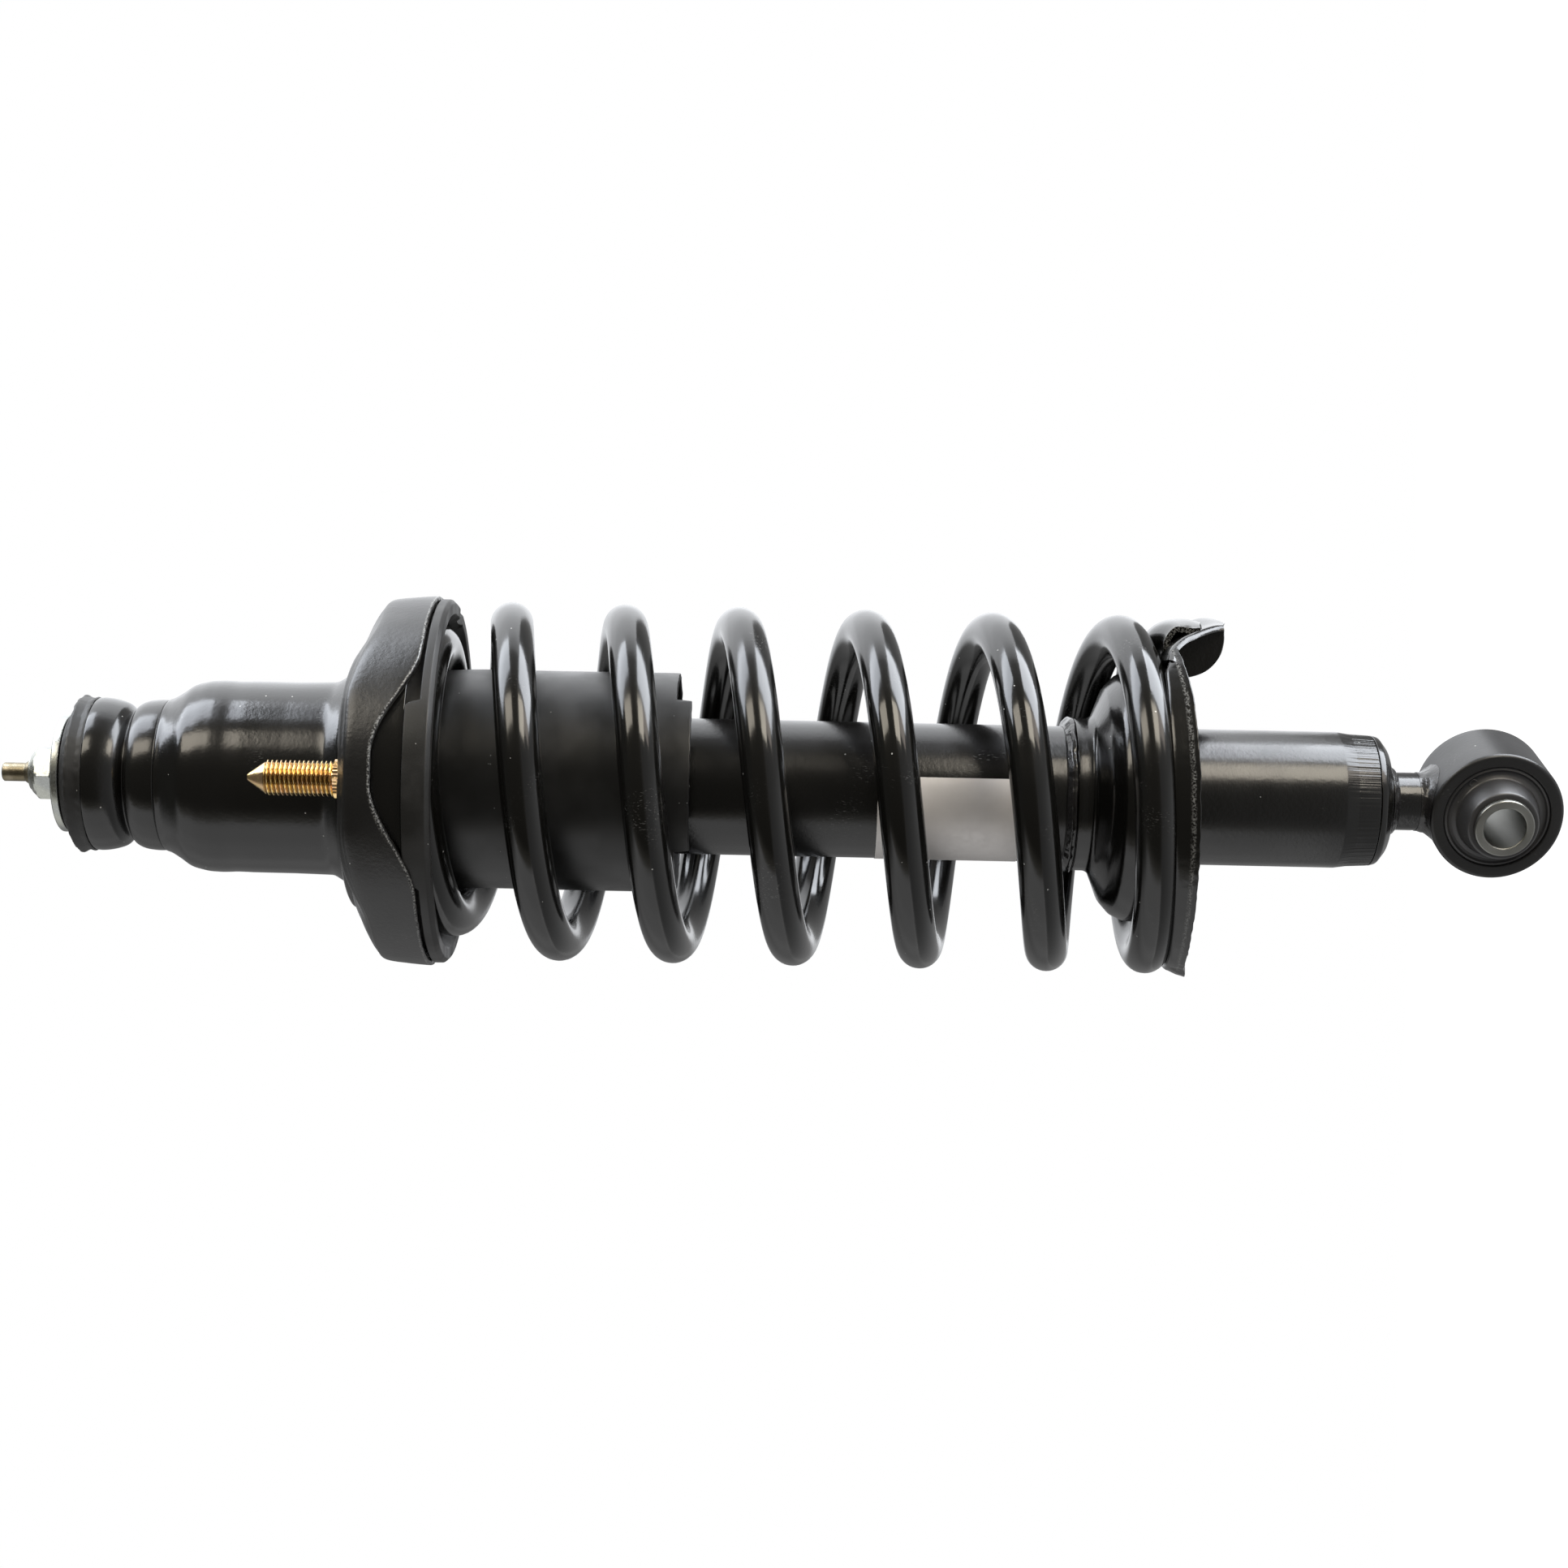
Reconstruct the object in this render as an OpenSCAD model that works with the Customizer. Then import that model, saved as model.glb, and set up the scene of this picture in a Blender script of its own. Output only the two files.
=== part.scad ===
// Rear suspension strut with its coil spring, upper mount and lower eye.
// Millimetres. The axis of the strut is Z, and +Z points to the rod's nut.
// The origin is the centre of the two mounting studs, on the face of the mount's flange.
// +X is the side of the hose bracket, and the studs stand on the Y axis.

/* [Mounting studs] */
// Distance between the two studs
stud_spacing = 88; // [80:0.5:92]
// Diameter of a stud
stud_d = 10; // [8:0.5:12]
// Height of a stud above the flange's face
stud_reach = 25.7; // [18:0.1:40]
// Length of a stud's pointed tip
stud_tip_len = 5; // [2:0.5:8]
// Diameter of the flat at the point
stud_tip_d = 1.8; // [1:0.1:4]
// How much wider than the stud its knurled collar is
stud_collar_extra = 0.8; // [0.4:0.1:1.5]
// Height of the knurled collar
stud_collar_h = 1.6; // [1:0.1:3]
// How much wider than the stud its head is
stud_head_extra = 3; // [2:0.5:4]
// Thickness of a stud's head
stud_head_h = 2.6; // [1.5:0.1:3]
// How far the flat on a head's outer side stands past the stud
stud_head_flat = 0.4; // [0.2:0.1:0.5]

/* [Mount flange] */
// Outer radius of the flange
flange_r = 54.3; // [53:0.1:60]
// Sheet thickness of the flange
flange_wall = 2.5; // [1.5:0.1:3]
// Radius of the flange's central hole
flange_hole_r = 27.6; // [24:0.1:29]
// Depth of the flange's skirt at its two deep sides
skirt_depth = 21.4; // [19:0.1:26]
// Depth of the flange's skirt beside the studs
scallop_depth = 8.3; // [7:0.1:10]
// Half angle of the flat part of a scallop
scallop_flat = 9; // [4:1:14]
// Half angle at which a scallop has reached the full skirt
scallop_end = 41; // [34:1:50]
// Turn of the scallops away from the stud line
scallop_turn = 3.5; // [0:0.5:5]
// How far the flange's face falls before the skirt at its deep sides
brow_drop = 8.6; // [6:0.1:10]

/* [Mount tower] */
// Sheet thickness of the tower
tower_wall = 2; // [1.2:0.1:2.4]
// Radius of the tower's foot disc
foot_r = 37.8; // [36:0.1:38]
// Radius of the barrel at its foot
barrel_foot_r = 29; // [28.5:0.1:30]
// Radius of the barrel at its shoulder
barrel_r = 28.2; // [27:0.1:28.4]
// Height of the barrel above the flange
barrel_h = 42; // [36:0.5:44]
// Height of the shoulder between barrel and waist
shoulder_h = 15.5; // [13:0.5:20]
// Radius of the waist, which holds the lower bush
waist_r = 22.1; // [21:0.1:23]
// Height of the waist under the groove
waist_h = 9.5; // [8:0.5:12]
// Radius of the groove between waist and cup
groove_r = 19.7; // [18.5:0.1:20.5]
// Radius of the cup's wall
cup_r = 21.6; // [21:0.1:22.4]
// How far the cup's rim stands out from its wall
cup_rim = 0.9; // [0.4:0.1:1.5]
// Height of the cup above the groove
cup_h = 14.6; // [12:0.2:18]
// Radius of the hole in the tower's floor
floor_hole_r = 8.6; // [8:0.1:10]

/* [Mount bushes] */
// Outer diameter of the steel distance sleeve
distance_sleeve_d = 13; // [12:0.1:14]
// Radius of the upper bush's lip over the cup
bush_lip_r = 21.8; // [21:0.1:23]
// Thickness of the upper bush's lip
bush_lip_t = 2; // [1:0.1:3]
// Diameter of the dished upper washer
top_washer_d = 34.6; // [30:0.1:38]
// Thickness of the upper washer
top_washer_t = 2.4; // [1.5:0.1:3]
// Dish depth of the upper washer
top_washer_dish = 2; // [1:0.1:2.6]
// Height of the upper washer's rim over the bush's lip
top_washer_rise = 2.4; // [1.5:0.1:4]
// Diameter of the lower washer
low_washer_d = 38; // [34:0.5:40]
// Thickness of the lower washer
low_washer_t = 2.4; // [1.5:0.1:3]
// Height of the lower bush
low_bush_h = 15; // [12:0.5:16]

/* [Rod and nut] */
// Diameter of the piston rod
rod_d = 12.5; // [11.5:0.1:13.5]
// Diameter of the rod's threaded end
rod_thread_d = 10; // [9.5:0.1:10.5]
// Diameter of the rod's turned tip
rod_tip_d = 5.5; // [4.5:0.1:7]
// Length of the rod's turned tip
rod_tip_len = 7.4; // [5:0.1:12]
// Width across flats of the rod's nut
nut_flats = 14.7; // [14:0.1:17]
// Height of the hexagon on the rod's nut
nut_hex_h = 5.2; // [4:0.1:8]
// Height of the nut's locking cone
nut_cone_h = 2.4; // [1:0.1:4]

/* [Coil spring] */
// Diameter of the spring's wire
wire_d = 12.4; // [11:0.1:13]
// Mean radius of the coils
coil_r = 46; // [45.8:0.1:47]
// Mean radius of the small upper end coil
end_coil_r = 39.8; // [39.6:0.1:40.2]
// Turns that taper to the upper end coil
taper_turns = 0.5; // [0.4:0.05:0.6]
// Pitch of the coils near the top
upper_pitch = 33.3; // [30:0.1:35]
// Turns wound at the upper pitch
upper_turns = 2; // [1.5:0.1:2.5]
// Pitch of the coils near the bottom
lower_pitch = 37.2; // [34:0.1:38.5]
// Turns wound at the lower pitch
lower_turns = 3; // [2.6:0.1:3.2]
// Turns of the small end coil that lie in the rubber
upper_dead_turns = 0.18; // [0.1:0.01:0.3]
// Turns over which the last coil comes down on its seat
closing_turns = 0.5; // [0.4:0.05:0.6]
// Turns of the last coil that lie on the seat
lower_dead_turns = 0.41; // [0.3:0.01:0.42]

/* [Spring isolator] */
// How far the isolator's band stands in from the outside of the flange's skirt
band_inset = 0.9; // [0.5:0.1:2.5]
// Depth of the isolator's lower edge under the flange's face
isolator_depth = 27; // [24:0.1:28]
// Half angle of the raised band under a scallop
band_half_angle = 26; // [15:1:28]

/* [Seat cup] */
// Sheet thickness of the inner steel cup
seat_cup_wall = 1.8; // [1.2:0.1:2.2]

/* [Dust cover] */
// Outer diameter of the dust cover
cover_d = 64.4; // [60:0.1:65]
// Wall of the dust cover
cover_wall = 1.8; // [1:0.1:2.4]
// Depth of the cover's end under the flange's face
cover_depth = 92.3; // [80:0.1:110]
// Length of the tongue on the cover's end
tongue_len = 4.3; // [2:0.1:8]
// Angle that the tongue spans
tongue_angle = 87; // [40:1:120]

/* [Bump stop] */
// Length of the foam bump stop
bump_len = 20; // [15:0.5:24]
// Radius of the bump stop
bump_r = 18; // [14:0.1:20]
// Depth of the grooves round the bump stop
bump_groove = 2.5; // [1:0.1:4]

/* [Damper] */
// Travel of the damper from full rebound to the bump stop
travel = 80; // [60:1:88]
// Outer diameter of the damper's outer tube
tube_d = 40; // [38:0.1:41]
// Wall of the outer tube
tube_wall = 2; // [1.5:0.1:2.5]
// How far the eye's centre lies below the outer tube's lower edge
eye_drop = 35.5; // [32:0.5:45]
// Length of the swaged lower end of the tube
swage_len = 8.5; // [5:0.1:14]
// How much the swaged end is drawn in
swage_in = 0.7; // [0.3:0.1:1]
// Outer diameter of the pressure tube
pressure_d = 28; // [26:0.1:29]
// Wall of the pressure tube
pressure_wall = 1.5; // [1:0.1:2]
// Thickness of the tube's cap
cap_t = 3; // [2:0.1:5]
// Height of the rod guide
guide_h = 18.6; // [16:0.1:26]
// Height of the rod seal
seal_h = 6; // [4:0.1:8]
// Diameter of the rebound stop
rebound_d = 22; // [18:0.1:24]
// Height of the rebound stop
rebound_h = 6; // [4:0.1:10]
// Height of the piston
piston_h = 12; // [10:0.1:18]
// Height of the valve shims on each side
shims_h = 1.2; // [0.6:0.1:2]
// Height of the piston's band
band_h = 5; // [3:0.1:7]
// Height of the piston's nut
piston_nut_h = 6.5; // [5:0.1:9]
// Height of the base valve
base_valve_h = 12; // [9:0.1:16]

/* [Lower spring seat] */
// Sheet thickness of the seat
seat_wall = 2.4; // [1.8:0.1:2.6]
// How far the seat's rim stands out past the coil on it
seat_lap = 0.1; // [0:0.1:4]
// Radius of the seat's neck
neck_r = 22.5; // [22:0.1:24]
// Height of the seat's neck
neck_h = 8.5; // [6:0.1:14]
// How far the seat's pilot stands in from the groove that holds the coil
pilot_gap = 2.4; // [1.6:0.1:5]
// Height of the pilot above the coil's floor
pilot_h = 20.6; // [16:0.1:22]
// Depth of the seat's turned-down rim
seat_rim_h = 5.6; // [4:0.1:8]
// Height of the weld bead above the neck
seat_weld_h = 3; // [2:0.1:4]

/* [Hose bracket] */
// Sheet thickness of the bracket
bracket_wall = 2; // [1.5:0.1:2.4]
// Reach of the bracket below the seat's floor
bracket_reach = 16.5; // [12:0.1:22]
// Inside width of the bracket
bracket_gap = 22; // [18:0.5:28]
// Height of the bracket's ears
ear_h = 13.5; // [10:0.1:16]
// Angle that the spring stop spans
stop_angle = 22; // [14:1:24]

/* [Lower eye] */
// Depth of the eye's centre under the flange's face
eye_depth = 331; // [325:0.5:345]
// Turn of the eye about the strut's axis
eye_turn = 21; // [0:1:45]
// Outer diameter of the eye's ring
eye_d = 38.8; // [36:0.1:44]
// Wall of the eye's ring
eye_wall = 4; // [3:0.1:5]
// Width of the eye's ring
eye_w = 23; // [18:0.5:30]
// Outer diameter of the sleeve
sleeve_d = 17.2; // [16:0.1:19]
// Bore of the sleeve, for the bolt
sleeve_bore = 12.2; // [10:0.1:13]
// Length of the sleeve
sleeve_len = 41; // [36:0.5:50]
// Diameter of the stem between tube and eye
stem_d = 17; // [14:0.1:20]

/* [Blank label] */
// Height of the blank foil label
label_h = 41.5; // [20:0.5:60]
// Depth of the label's upper edge under the flange's face
label_top = 150.4; // [130:0.5:160]
// Angle that the label spans
label_angle = 126; // [60:1:200]
// Thickness of the foil
foil_t = 0.15; // [0.1:0.05:0.3]

/* [Fits] */
// Gap between a rubber or plastic piece and its seat
soft_gap = 0.1; // [0.05:0.01:0.3]
// Radial clearance of a running fit
run_gap = 0.05; // [0.02:0.01:0.1]
// Gap between pieces that move past each other without touching
free_gap = 0.3; // [0.25:0.05:1]

/* [Hidden] */

// Heights of the mount, from the flange's face upwards
groove_z = barrel_h + shoulder_h + waist_h;
cup_top = groove_z + cup_h;
shoulder_top = barrel_h + shoulder_h;
waist_in = waist_r - tower_wall;
cup_in = cup_r - tower_wall;
bush_top = cup_top + bush_lip_t + top_washer_rise;
washer_low = bush_top + soft_gap;
nut_seat = washer_low + top_washer_dish + top_washer_t;
low_bush_top = groove_z - tower_wall / 2 - soft_gap;
low_washer_top = low_bush_top - low_bush_h - soft_gap;
rod_shoulder = low_washer_top - low_washer_t;
washer_hole_r = rod_thread_d / 2 + run_gap;
nut_top = nut_seat + nut_hex_h + nut_cone_h;
thread_chamfer = 1.1;
rod_top = nut_top + thread_chamfer + rod_tip_len;

// Heights of the damper at full rebound
bump_low = rod_shoulder - soft_gap - bump_len;
tube_top = bump_low - travel - free_gap;
tube_lip = 1.4;
cap_top = tube_top - tube_lip - run_gap;
tube_bottom = eye_depth - eye_drop;
tube_r = tube_d / 2;
tube_in = tube_r - tube_wall;
pressure_r = pressure_d / 2;
pressure_in = pressure_r - pressure_wall;
rod_r = rod_d / 2;
seal_r = rod_r + 6;
guide_top = cap_top - cap_t - run_gap;
guide_low = guide_top - guide_h;
spigot_h = 5;
pressure_top = guide_low + spigot_h - run_gap;
rebound_top = guide_low - free_gap;
shims_room = 5;
piston_top = rebound_top - rebound_h - shims_room - shims_h;
spindle_end = 1;
rod_low = piston_top - piston_h - 2 * shims_h - piston_nut_h - spindle_end;
spindle_r = 4.5;
piston_r = pressure_in - 0.5;
band_r = pressure_in - run_gap;
swage_r = tube_r - swage_in;
dome_h = 5.4;
plug_h = 3;
valve_low = -tube_bottom + plug_h;
valve_top = valve_low + base_valve_h;
valve_flange_h = 4;

// The spring's wire, from its upper end at turn 0
wire_r = wire_d / 2;
first_coil_z = -42.2;
wire_cover = 0.4;
upper_seat_z = -isolator_depth + wire_cover + wire_r;
turns_flat = upper_dead_turns;
turns_first = turns_flat + taper_turns;
turns_upper = turns_first + upper_turns;
turns_lower = turns_upper + lower_turns;
turns_seat = turns_lower + closing_turns;
turns_all = turns_seat + lower_dead_turns;
lower_run_z = first_coil_z - upper_pitch * upper_turns;
last_coil_z = lower_run_z - lower_pitch * lower_turns;
closing_drop = 10;
lower_seat_z = last_coil_z - closing_drop;
rings_per_turn = 24;
wire_sides = 6;

// The lower seat carries the last coil
seat_floor = lower_seat_z - wire_r - free_gap;
pilot_top = seat_floor + pilot_h;
neck_top = pilot_top + neck_h;
seat_in = tube_r + run_gap;
seat_r = coil_r + wire_r + seat_lap;
groove_in_r = coil_r - wire_r - 0.2;
pilot_r = groove_in_r - pilot_gap;

// The eye
eye_z = -eye_depth;
eye_r = eye_d / 2;
eye_in = eye_r - eye_wall;
rubber_inset = 0.75;
rubber_w = eye_w - 2 * rubber_inset;
collar_wall = 3.4;
collar_r = sleeve_d / 2 + collar_wall;
sleeve_show = 1.8;
collar_w = sleeve_len - 2 * sleeve_show;
stem_r = stem_d / 2;

// The steel cup's roof lies under the heads of the studs, and its skirt inside the flange's
cup_gap = 0.6;
cup_roof = -(flange_wall + stud_head_h);
cup_skirt_r = flange_r - flange_wall - cup_gap;
cup_skirt_low = -18;
isolator_r = flange_r - band_inset;
cover_room = 0.8;
channel_room = 0.6;

// The wire's lower end lies just past the angle where the stop ends
wire_end_angle = coil_angle(turns_all) + 360 * 6;

// Names for angles: the front of the strut is -Y
front = -90;
back = 90;

function smooth(t) = let (u = max(0, min(1, t))) u * u * (3 - 2 * u);
function mix(a, b, t) = a + (b - a) * t;

// Fall of the skirt at an angle: shallow at the studs, deep between them
function stud_offset(a) = abs(abs((a - scallop_turn + 360) % 180 - 90));
function skirt_z(a) =
    -mix(scallop_depth, skirt_depth,
        smooth((stud_offset(a) - scallop_flat) / (scallop_end - scallop_flat)));
// 1 on the stud line, 0 on the deep sides
pad_half_angle = 18;
pad_fade = 40;
function pad(a) = smooth(1 - (stud_offset(a) - pad_half_angle) / pad_fade);

// The flange's outer face at an angle, as radius and height, from the foot to the skirt
function flange_line(a) =
    let (
        p = pad(a),
        shelf = (stud_spacing + stud_d) / 2,
        edge = skirt_z(a),
        brow = -mix(brow_drop, scallop_depth * 0.3, p)
    ) [
        [flange_hole_r, 0],
        [foot_r, 0],
        [mix(foot_r + 6.4, shelf - 4, p), brow * mix(0.3, 0, p)],
        [mix(flange_r - 5.5, shelf + 1, p), brow * mix(0.58, 0.02, p)],
        [mix(flange_r - 2.8, shelf + 3, p), brow * mix(0.8, 0.45, p)],
        [mix(flange_r - 1.3, flange_r - 0.6, p), brow],
        [mix(flange_r - 0.5, flange_r - 0.2, p), mix(brow, edge, 0.45)],
        [flange_r, edge]
    ];
// The inner face lies one sheet inside the outer face
function flange_inner(a) =
    let (
        line = flange_line(a),
        last = len(line) - 1
    ) [for (i = [0:last])
        let (
            q = line[min(i + 1, last)] - line[max(i - 1, 0)],
            n = [q[1], -q[0]] / norm(q)
        ) i == 0 ? [line[0][0], -flange_wall]
            : i == last ? [flange_r - flange_wall, line[last][1]]
            : line[i] + n * flange_wall
    ];

// Radius and height of the spring's wire after so many turns
function coil_radius(t) =
    mix(end_coil_r, coil_r, smooth((t - turns_flat) / taper_turns));
function coil_z(t) =
    t < turns_flat ? upper_seat_z
    : t < turns_first ? mix(upper_seat_z, first_coil_z, pow((t - turns_flat) / taper_turns, 1.25))
    : t < turns_upper ? first_coil_z - upper_pitch * (t - turns_first)
    : t < turns_lower ? lower_run_z - lower_pitch * (t - turns_upper)
    : t < turns_seat
        ? let (u = (t - turns_lower) / closing_turns)
            last_coil_z - closing_drop * (1 - (1 - u) * (1 - u))
    : lower_seat_z;
function coil_angle(t) = 360 * (turns_first - t);
function coil_point(t) =
    [coil_radius(t) * cos(coil_angle(t)), coil_radius(t) * sin(coil_angle(t)), coil_z(t)];

// A tube of triangles round a list of points, closed at both ends
function tube_ring(a, b, c, r, sides) =
    let (
        d = (c - a) / norm(c - a),
        side = cross(d, [0, 0, 1]) / norm(cross(d, [0, 0, 1])),
        up = cross(side, d)
    ) [for (k = [0:sides - 1]) b + r * (cos(360 * (k + 0.5) / sides) * side
        + sin(360 * (k + 0.5) / sides) * up)];
module wire(path, r, sides) {
    n = len(path);
    points = [for (i = [0:n - 1])
        each tube_ring(path[max(i - 1, 0)], path[i], path[min(i + 1, n - 1)], r, sides)];
    walls = [for (i = [0:n - 2]) for (k = [0:sides - 1])
        let (a = i * sides + k, b = i * sides + (k + 1) % sides)
        each [[a, b, b + sides], [a, b + sides, a + sides]]];
    ends = [for (k = [1:sides - 2]) each
        [[0, k + 1, k], [(n - 1) * sides, (n - 1) * sides + k, (n - 1) * sides + k + 1]]];
    polyhedron(points, concat(walls, ends));
}

// Ring with a plain section
module ring(r_in, r_out, z0, z1) {
    rotate_extrude($fn = 96)
        translate([r_in, z0])
            square([r_out - r_in, z1 - z0]);
}

module hexagon(flats, h) {
    cylinder(h = h, r = flats / sqrt(3), $fn = 6);
}

// Puts what follows on the axis of the lower eye, which runs along its local Z
module at_eye() {
    translate([0, 0, eye_z])
        rotate([0, 0, -eye_turn])
            rotate([90, 0, 0])
                children();
}

module rod_nut() {
    h = nut_hex_h + nut_cone_h;
    top_r = nut_flats / 2 - nut_cone_h;
    color("gainsboro")
        translate([0, 0, nut_seat])
            difference() {
                intersection() {
                    rotate([0, 0, 30])
                        hexagon(nut_flats, h);
                    rotate_extrude($fn = 96)
                        polygon([[0, 0], [top_r + h, 0], [top_r, h], [0, h]]);
                }
                translate([0, 0, -1])
                    cylinder(h = h + 2, r = washer_hole_r, $fn = 64);
            }
}

module top_washer() {
    r = top_washer_d / 2;
    flat_r = nut_flats / 2 + 2;
    rim_w = 2;
    color("gainsboro")
        rotate_extrude($fn = 96)
            polygon([
                [washer_hole_r, washer_low + top_washer_dish],
                [flat_r, washer_low + top_washer_dish],
                [r - rim_w, washer_low],
                [r, washer_low],
                [r, washer_low + top_washer_t],
                [r - rim_w, washer_low + top_washer_t],
                [flat_r, nut_seat],
                [washer_hole_r, nut_seat]
            ]);
}

module upper_bush() {
    hole = distance_sleeve_d / 2 + soft_gap;
    floor_z = groove_z + tower_wall / 2 + soft_gap;
    wall_r = cup_in - soft_gap;
    neck = groove_r - tower_wall - soft_gap;
    color("#1c1c1e")
        rotate_extrude($fn = 96)
            polygon([
                [hole, floor_z],
                [neck, floor_z],
                [wall_r, groove_z + 5],
                [wall_r, cup_top + soft_gap],
                [bush_lip_r, cup_top + soft_gap],
                [bush_lip_r, cup_top + bush_lip_t],
                [top_washer_d / 2 + 1.8, cup_top + bush_lip_t + top_washer_rise * 0.4],
                [top_washer_d / 2, bush_top],
                [top_washer_d / 2 - 2, bush_top],
                [nut_flats / 2 + 2, bush_top + top_washer_dish],
                [hole, bush_top + top_washer_dish]
            ]);
}

module distance_sleeve() {
    color("silver")
        ring(washer_hole_r, distance_sleeve_d / 2, low_washer_top, washer_low + top_washer_dish);
}

module lower_bush() {
    hole = distance_sleeve_d / 2 + soft_gap;
    wall_r = waist_in - soft_gap;
    low = low_washer_top + soft_gap;
    color("#1c1c1e")
        rotate_extrude($fn = 96)
            polygon([
                [hole, low],
                [wall_r, low],
                [wall_r, groove_z - 5],
                [groove_r - tower_wall - soft_gap, low_bush_top],
                [hole, low_bush_top]
            ]);
}

module lower_washer() {
    color("silver")
        ring(washer_hole_r, low_washer_d / 2, rod_shoulder, low_washer_top);
}

module mount_tower() {
    w = tower_wall;
    lip = 3.2;
    color("#202124")
        rotate_extrude($fn = 128)
            polygon([
                [flange_hole_r, 0],
                [foot_r, 0],
                [foot_r, w * 0.6],
                [foot_r - 1, w],
                [barrel_foot_r + 4, w + 0.4],
                [barrel_foot_r + 1.2, w + 2],
                [barrel_foot_r, w + 5],
                [barrel_r, barrel_h],
                [barrel_r - 0.7, barrel_h + shoulder_h * 0.26],
                [mix(barrel_r, waist_r, 0.4), barrel_h + shoulder_h * 0.55],
                [waist_r + 0.6, shoulder_top - 1.5],
                [waist_r, shoulder_top],
                [waist_r, groove_z - 5],
                [waist_r - 0.7, groove_z - 3],
                [groove_r, groove_z - 1],
                [groove_r, groove_z + 0.5],
                [cup_r - 0.7, groove_z + 3],
                [cup_r, groove_z + 6],
                [cup_r, cup_top - 2 * lip],
                [cup_r + cup_rim, cup_top - 1.5 * lip],
                [cup_r + cup_rim, cup_top - 0.4],
                [cup_r + cup_rim - 0.4, cup_top],
                [cup_in, cup_top],
                [cup_in, groove_z + 5],
                [groove_r - w, groove_z + w / 2],
                [floor_hole_r, groove_z + w / 2],
                [floor_hole_r, groove_z - w / 2],
                [groove_r - w, groove_z - w / 2],
                [waist_in, groove_z - 5],
                [waist_in, shoulder_top - 1],
                [mix(barrel_r, waist_r, 0.4) - w, barrel_h + shoulder_h * 0.5],
                [barrel_r - w, barrel_h - 0.4],
                [flange_hole_r, w + 5]
            ]);
}

module mount_flange() {
    step = 5;
    outer = [for (a = [0:step:359]) flange_line(a)];
    inner = [for (a = [0:step:359]) flange_inner(a)];
    n = len(outer);
    m = len(outer[0]);
    points = [for (i = [0:n - 1]) each concat(
        [for (p = outer[i]) [p[0] * cos(i * step), p[0] * sin(i * step), p[1]]],
        [for (k = [m - 1:-1:0]) let (p = inner[i][k])
            [p[0] * cos(i * step), p[0] * sin(i * step), p[1]]])];
    loop = 2 * m;
    faces = [for (i = [0:n - 1]) for (k = [0:loop - 1])
        let (
            j = (i + 1) % n,
            a = i * loop + k,
            b = i * loop + (k + 1) % loop,
            c = j * loop + (k + 1) % loop,
            d = j * loop + k
        ) each [[a, b, c], [a, c, d]]];
    color("#202124")
        difference() {
            polyhedron(points, faces);
            for (side = [-1, 1])
                translate([0, side * stud_spacing / 2, -flange_wall - 1])
                    cylinder(h = flange_wall + 3, r = stud_d / 2 + run_gap, $fn = 48);
        }
}

// A stud on its own axis, with the flat of its head towards +Y, away from the strut's axis
module mount_stud() {
    shank_low = -flange_wall - stud_head_h;
    head_r = (stud_d + stud_head_extra) / 2;
    flat_y = stud_d / 2 + stud_head_flat;
    cylinder(h = stud_reach - stud_tip_len, r = stud_d / 2, $fn = 64);
    translate([0, 0, shank_low])
        cylinder(h = -shank_low, r = stud_d / 2, $fn = 64);
    translate([0, 0, stud_reach - stud_tip_len])
        cylinder(h = stud_tip_len, r1 = stud_d / 2, r2 = stud_tip_d / 2, $fn = 64);
    cylinder(h = stud_collar_h, r = (stud_d + stud_collar_extra) / 2, $fn = 64);
    translate([0, 0, shank_low])
        intersection() {
            cylinder(h = stud_head_h, r = head_r, $fn = 64);
            translate([-head_r, -head_r, 0])
                cube([2 * head_r, head_r + flat_y, stud_head_h]);
        }
}

module mount_studs() {
    color("#b8962e")
        for (turn = [0, 180])
            rotate([0, 0, turn])
                translate([0, stud_spacing / 2, 0])
                    mount_stud();
}

module seat_cup() {
    w = seat_cup_wall;
    inner_r = cover_d / 2 + cover_room;
    color("#202124")
        rotate_extrude($fn = 128)
            polygon([
                [inner_r, cup_roof],
                [cup_skirt_r - 11, cup_roof],
                [cup_skirt_r - 6, cup_roof - 2.8],
                [cup_skirt_r - 2, cup_roof - 6],
                [cup_skirt_r, cup_roof - 9],
                [cup_skirt_r, cup_skirt_low],
                [cup_skirt_r - w, cup_skirt_low],
                [cup_skirt_r - w, cup_roof - 9.4],
                [cup_skirt_r - w - 1.8, cup_roof - 7],
                [cup_skirt_r - w - 5.4, cup_roof - 4.2],
                [cup_skirt_r - w - 9.8, cup_roof - w],
                [inner_r, cup_roof - w]
            ]);
}

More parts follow.
